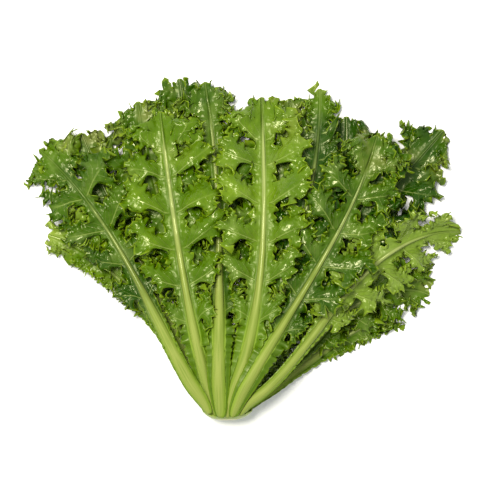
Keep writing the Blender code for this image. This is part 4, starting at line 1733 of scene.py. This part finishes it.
@dataclass(frozen=True)
class Crown:
    """The short rounded end that the stalks grow from, which swells below each of them."""

    centre: Pair = (-15.5, 18.6)
    cut_y: float = -150.0
    depths: tuple[float, ...] = (0.5, 0.25, 0.0, 0.4, 1.4, 4.0, 7.5, 11.6, 15.5, 18.0, 19.6, 20.0)
    radii: tuple[float, ...] = (0.0, 3.6, 6.8, 8.8, 12.2, 17.2, 20.6, 22.0, 22.0, 21.0, 12.0, 0.0)
    cut_radius: float = 8.8
    radius: float = 22.0
    reach: Pair = (21.5, 24.5)  # to the left and to the right
    flattened: float = 0.84
    lower_stalks: tuple[float, ...] = (-40.0, -28.5, -19.5, -10.5, -1.5, 9.0)
    furrow: float = 2.6  # depth, between the lower stalks
    furrow_top: float = 0.6
    furrow_from: Pair = (1.0, 6.0)  # how far from the cut the furrows start and are full
    shoulder: float = 0.5  # how squarely the top and the furrows meet the sides
    least: float = 0.2  # height above the table
    across: Cell = (170, 260)  # the cells of the table around the stalks' ends
    inward: Cell = (25, 60)
    below_stalks: float = 1.2
    rings: Cell = (144, 72)

    def build(self, pile: Pile) -> bpy.types.Object:
        """Models the crown, fits it to the stalks' ends and lays its finish on.

        Args:
            pile: the leaves, whose stalks' tops the crown continues.

        Returns:
            The finished piece.
        """
        segments, rings = self.rings
        bpy.ops.mesh.primitive_uv_sphere_add(segments=segments, ring_count=rings, radius=1.0)
        piece = bpy.context.object
        piece.name = piece.data.name = "rounded_crown"
        points, furrow, inward = self.shape(mesh_points(piece).astype(float), pile)
        piece.data.vertices.foreach_set("co", (points * MM).ravel())
        Modeller.note(piece, "furrow", furrow)
        Modeller.note(piece, "inward", inward)
        bpy.ops.object.mode_set(mode="EDIT")
        bpy.ops.mesh.select_all(action="SELECT")
        bpy.ops.mesh.normals_make_consistent(inside=False)
        bpy.ops.object.mode_set(mode="OBJECT")
        piece.data.shade_smooth()
        piece.data.materials.append(CrownFinish().material())
        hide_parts("crown")
        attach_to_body(piece, "root")
        return piece

    def shape(self, ball: np.ndarray, pile: Pile) -> Places:
        """Turns the points of a unit ball into the crown's.

        Args:
            ball: the ball's points, whose poles become the cut end and the far end.
            pile: the leaves, whose stalks' tops the crown continues.

        Returns:
            The points, how deep in a furrow each is, and how far from the cut.
        """
        steps = np.hypot(np.diff(self.depths), np.diff(self.radii))
        walked = np.concatenate(([0.0], np.cumsum(steps)))
        place = (1.0 - np.arccos(np.clip(ball[:, 2], -1.0, 1.0)) / math.pi) * walked[-1]
        depth = np.interp(place, walked, self.depths)
        size = np.interp(place, walked, self.radii) / self.radius
        around = np.maximum(np.hypot(ball[:, 0], ball[:, 1]), TINY)
        cosine, sine = ball[:, 0] / around, ball[:, 1] / around
        x = np.where(cosine < 0.0, *self.reach) * cosine
        round_top = self.radius * self.flattened
        tops = self.stalk_tops(pile, x * size + self.centre[0], depth) - self.centre[1]
        square = np.abs(sine) ** self.shoulder
        upper = np.minimum(tops / np.maximum(size, 0.3), round_top * 0.95) * square
        low = self.between(x + self.centre[0], self.lower_stalks) * square
        lower = round_top * sine * (1.0 - self.furrow * low / self.radius)
        z = self.centre[1] + np.where(sine > 0.0, upper, lower) * size
        points = np.stack((x * size + self.centre[0], self.cut_y + depth, z), axis=1)
        points[:, 2] = np.maximum(points[:, 2], self.least)
        furrow = np.where(sine > 0.0, self.furrow_top * np.abs(sine), low)
        furrow *= np.interp(depth, self.furrow_from, (0.0, 1.0))
        inward = np.where(size * self.radius < self.cut_radius, 0.0, depth)
        return points, furrow, inward

    def stalk_tops(self, pile: Pile, x: np.ndarray, depth: np.ndarray) -> np.ndarray:
        """A little under the stalks' tops.

        Args:
            pile: the leaves.
            x: places across the bunch.
            depth: how far from the cut they are.

        Returns:
            The height at each place.
        """
        level = pile.top.level[slice(*self.across), slice(*self.inward)]
        level = np.where(level < 0.0, self.centre[1] + self.radius, level)
        for axis in (0, 1):
            level = (np.roll(level, 1, axis) + 2.0 * level + np.roll(level, -1, axis)) / 4.0
        column = (x - HeightMap.LOW[0]).astype(int) - self.across[0]
        column = np.clip(column, 0, level.shape[0] - 1)
        return level[column, np.clip(depth.astype(int), 0, level.shape[1] - 1)] - self.below_stalks

    @staticmethod
    def between(across: np.ndarray, stalks: tuple[float, ...]) -> np.ndarray:
        """Reads places against a row of stalks.

        Args:
            across: the places, across the bunch.
            stalks: the middles of the stalks.

        Returns:
            0 in the middle of a stalk and 1 midway between two.
        """
        places = np.array(stalks)
        right = np.clip(np.searchsorted(places, across), 1, len(places) - 1)
        share = (across - places[right - 1]) / (places[right] - places[right - 1])
        return (1.0 - np.abs(2.0 * np.clip(share, 0.0, 1.0) - 1.0)) ** 2


@dataclass(frozen=True)
class Studio:
    """The pale table, the light and the camera above it, in metres but for lens and cloud."""

    table_side: float = 4.0
    lens: float = 150.0
    frame_width: float = 0.44
    look_at: Pair = (0.0057, -0.0022)
    key_place: tuple[float, float, float] = (-0.45, 0.39, 1.8)
    key_size: float = 0.68
    key_power: float = 45.0
    key_colour: tuple[float, float, float] = (1.0, 0.97, 0.9)
    sky_colour: Colour = (0.83, 0.86, 0.9, 1.0)
    sky_power: float = 0.74
    table_shade: Colour = srgb(252, 251, 247)
    table_white: Colour = srgb(255, 254, 251)
    table_cloud: float = 260.0
    table_rough: float = 0.8

    def build(self) -> None:
        """Sets up everything that isn't the bunch."""
        self.lay_table()
        self.hang_key()
        world = bpy.data.worlds.new("room")
        world.use_nodes = True
        sky = world.node_tree.nodes["Background"]
        sky.inputs[0].default_value = self.sky_colour
        sky.inputs[1].default_value = self.sky_power
        bpy.context.scene.world = world
        bpy.context.scene.view_settings.view_transform = "Standard"
        camera = bpy.data.cameras.new("camera")
        camera.lens = self.lens
        seat = bpy.data.objects.new("camera", camera)
        height = self.frame_width * self.lens / camera.sensor_width
        seat.location = (*self.look_at, height)
        bpy.context.scene.collection.objects.link(seat)
        bpy.context.scene.camera = seat

    def lay_table(self) -> None:
        """A plain matt pale top."""
        bpy.ops.mesh.primitive_plane_add(size=self.table_side)
        top = bpy.context.object
        top.name = "table"
        bench = Bench("table_white")
        cloud = bench.noise(self.table_cloud, 1.0)
        bench.feed("Base Color", bench.mix(cloud, self.table_shade, self.table_white))
        bench.shader.inputs["Roughness"].default_value = self.table_rough
        top.data.materials.append(bench.material)

    def hang_key(self) -> None:
        """One warm lamp above and to the upper left."""
        lamp = bpy.data.lights.new("key", "AREA")
        lamp.shape = "DISK"
        lamp.size = self.key_size
        lamp.energy = self.key_power
        lamp.color = self.key_colour
        seat = bpy.data.objects.new("key", lamp)
        seat.location = self.key_place
        seat.rotation_euler = (-Vector(self.key_place)).to_track_quat("-Z", "Y").to_euler()
        bpy.context.scene.collection.objects.link(seat)


def main() -> None:
    """Builds the bunch, the table and the lights."""
    logging.basicConfig(level=logging.INFO, format="%(message)s")
    finish = LeafFinish().material()
    pile = Pile()
    for index, plan in enumerate(PLANS):
        piece = CurlyLeaf(plan, index).build(pile, finish)
        log.info("%s: %d faces", piece.name, len(piece.data.polygons))
    crown = Crown().build(pile)
    log.info("%s: %d faces", crown.name, len(crown.data.polygons))
    Studio().build()


if __name__ == "__main__":
    main()
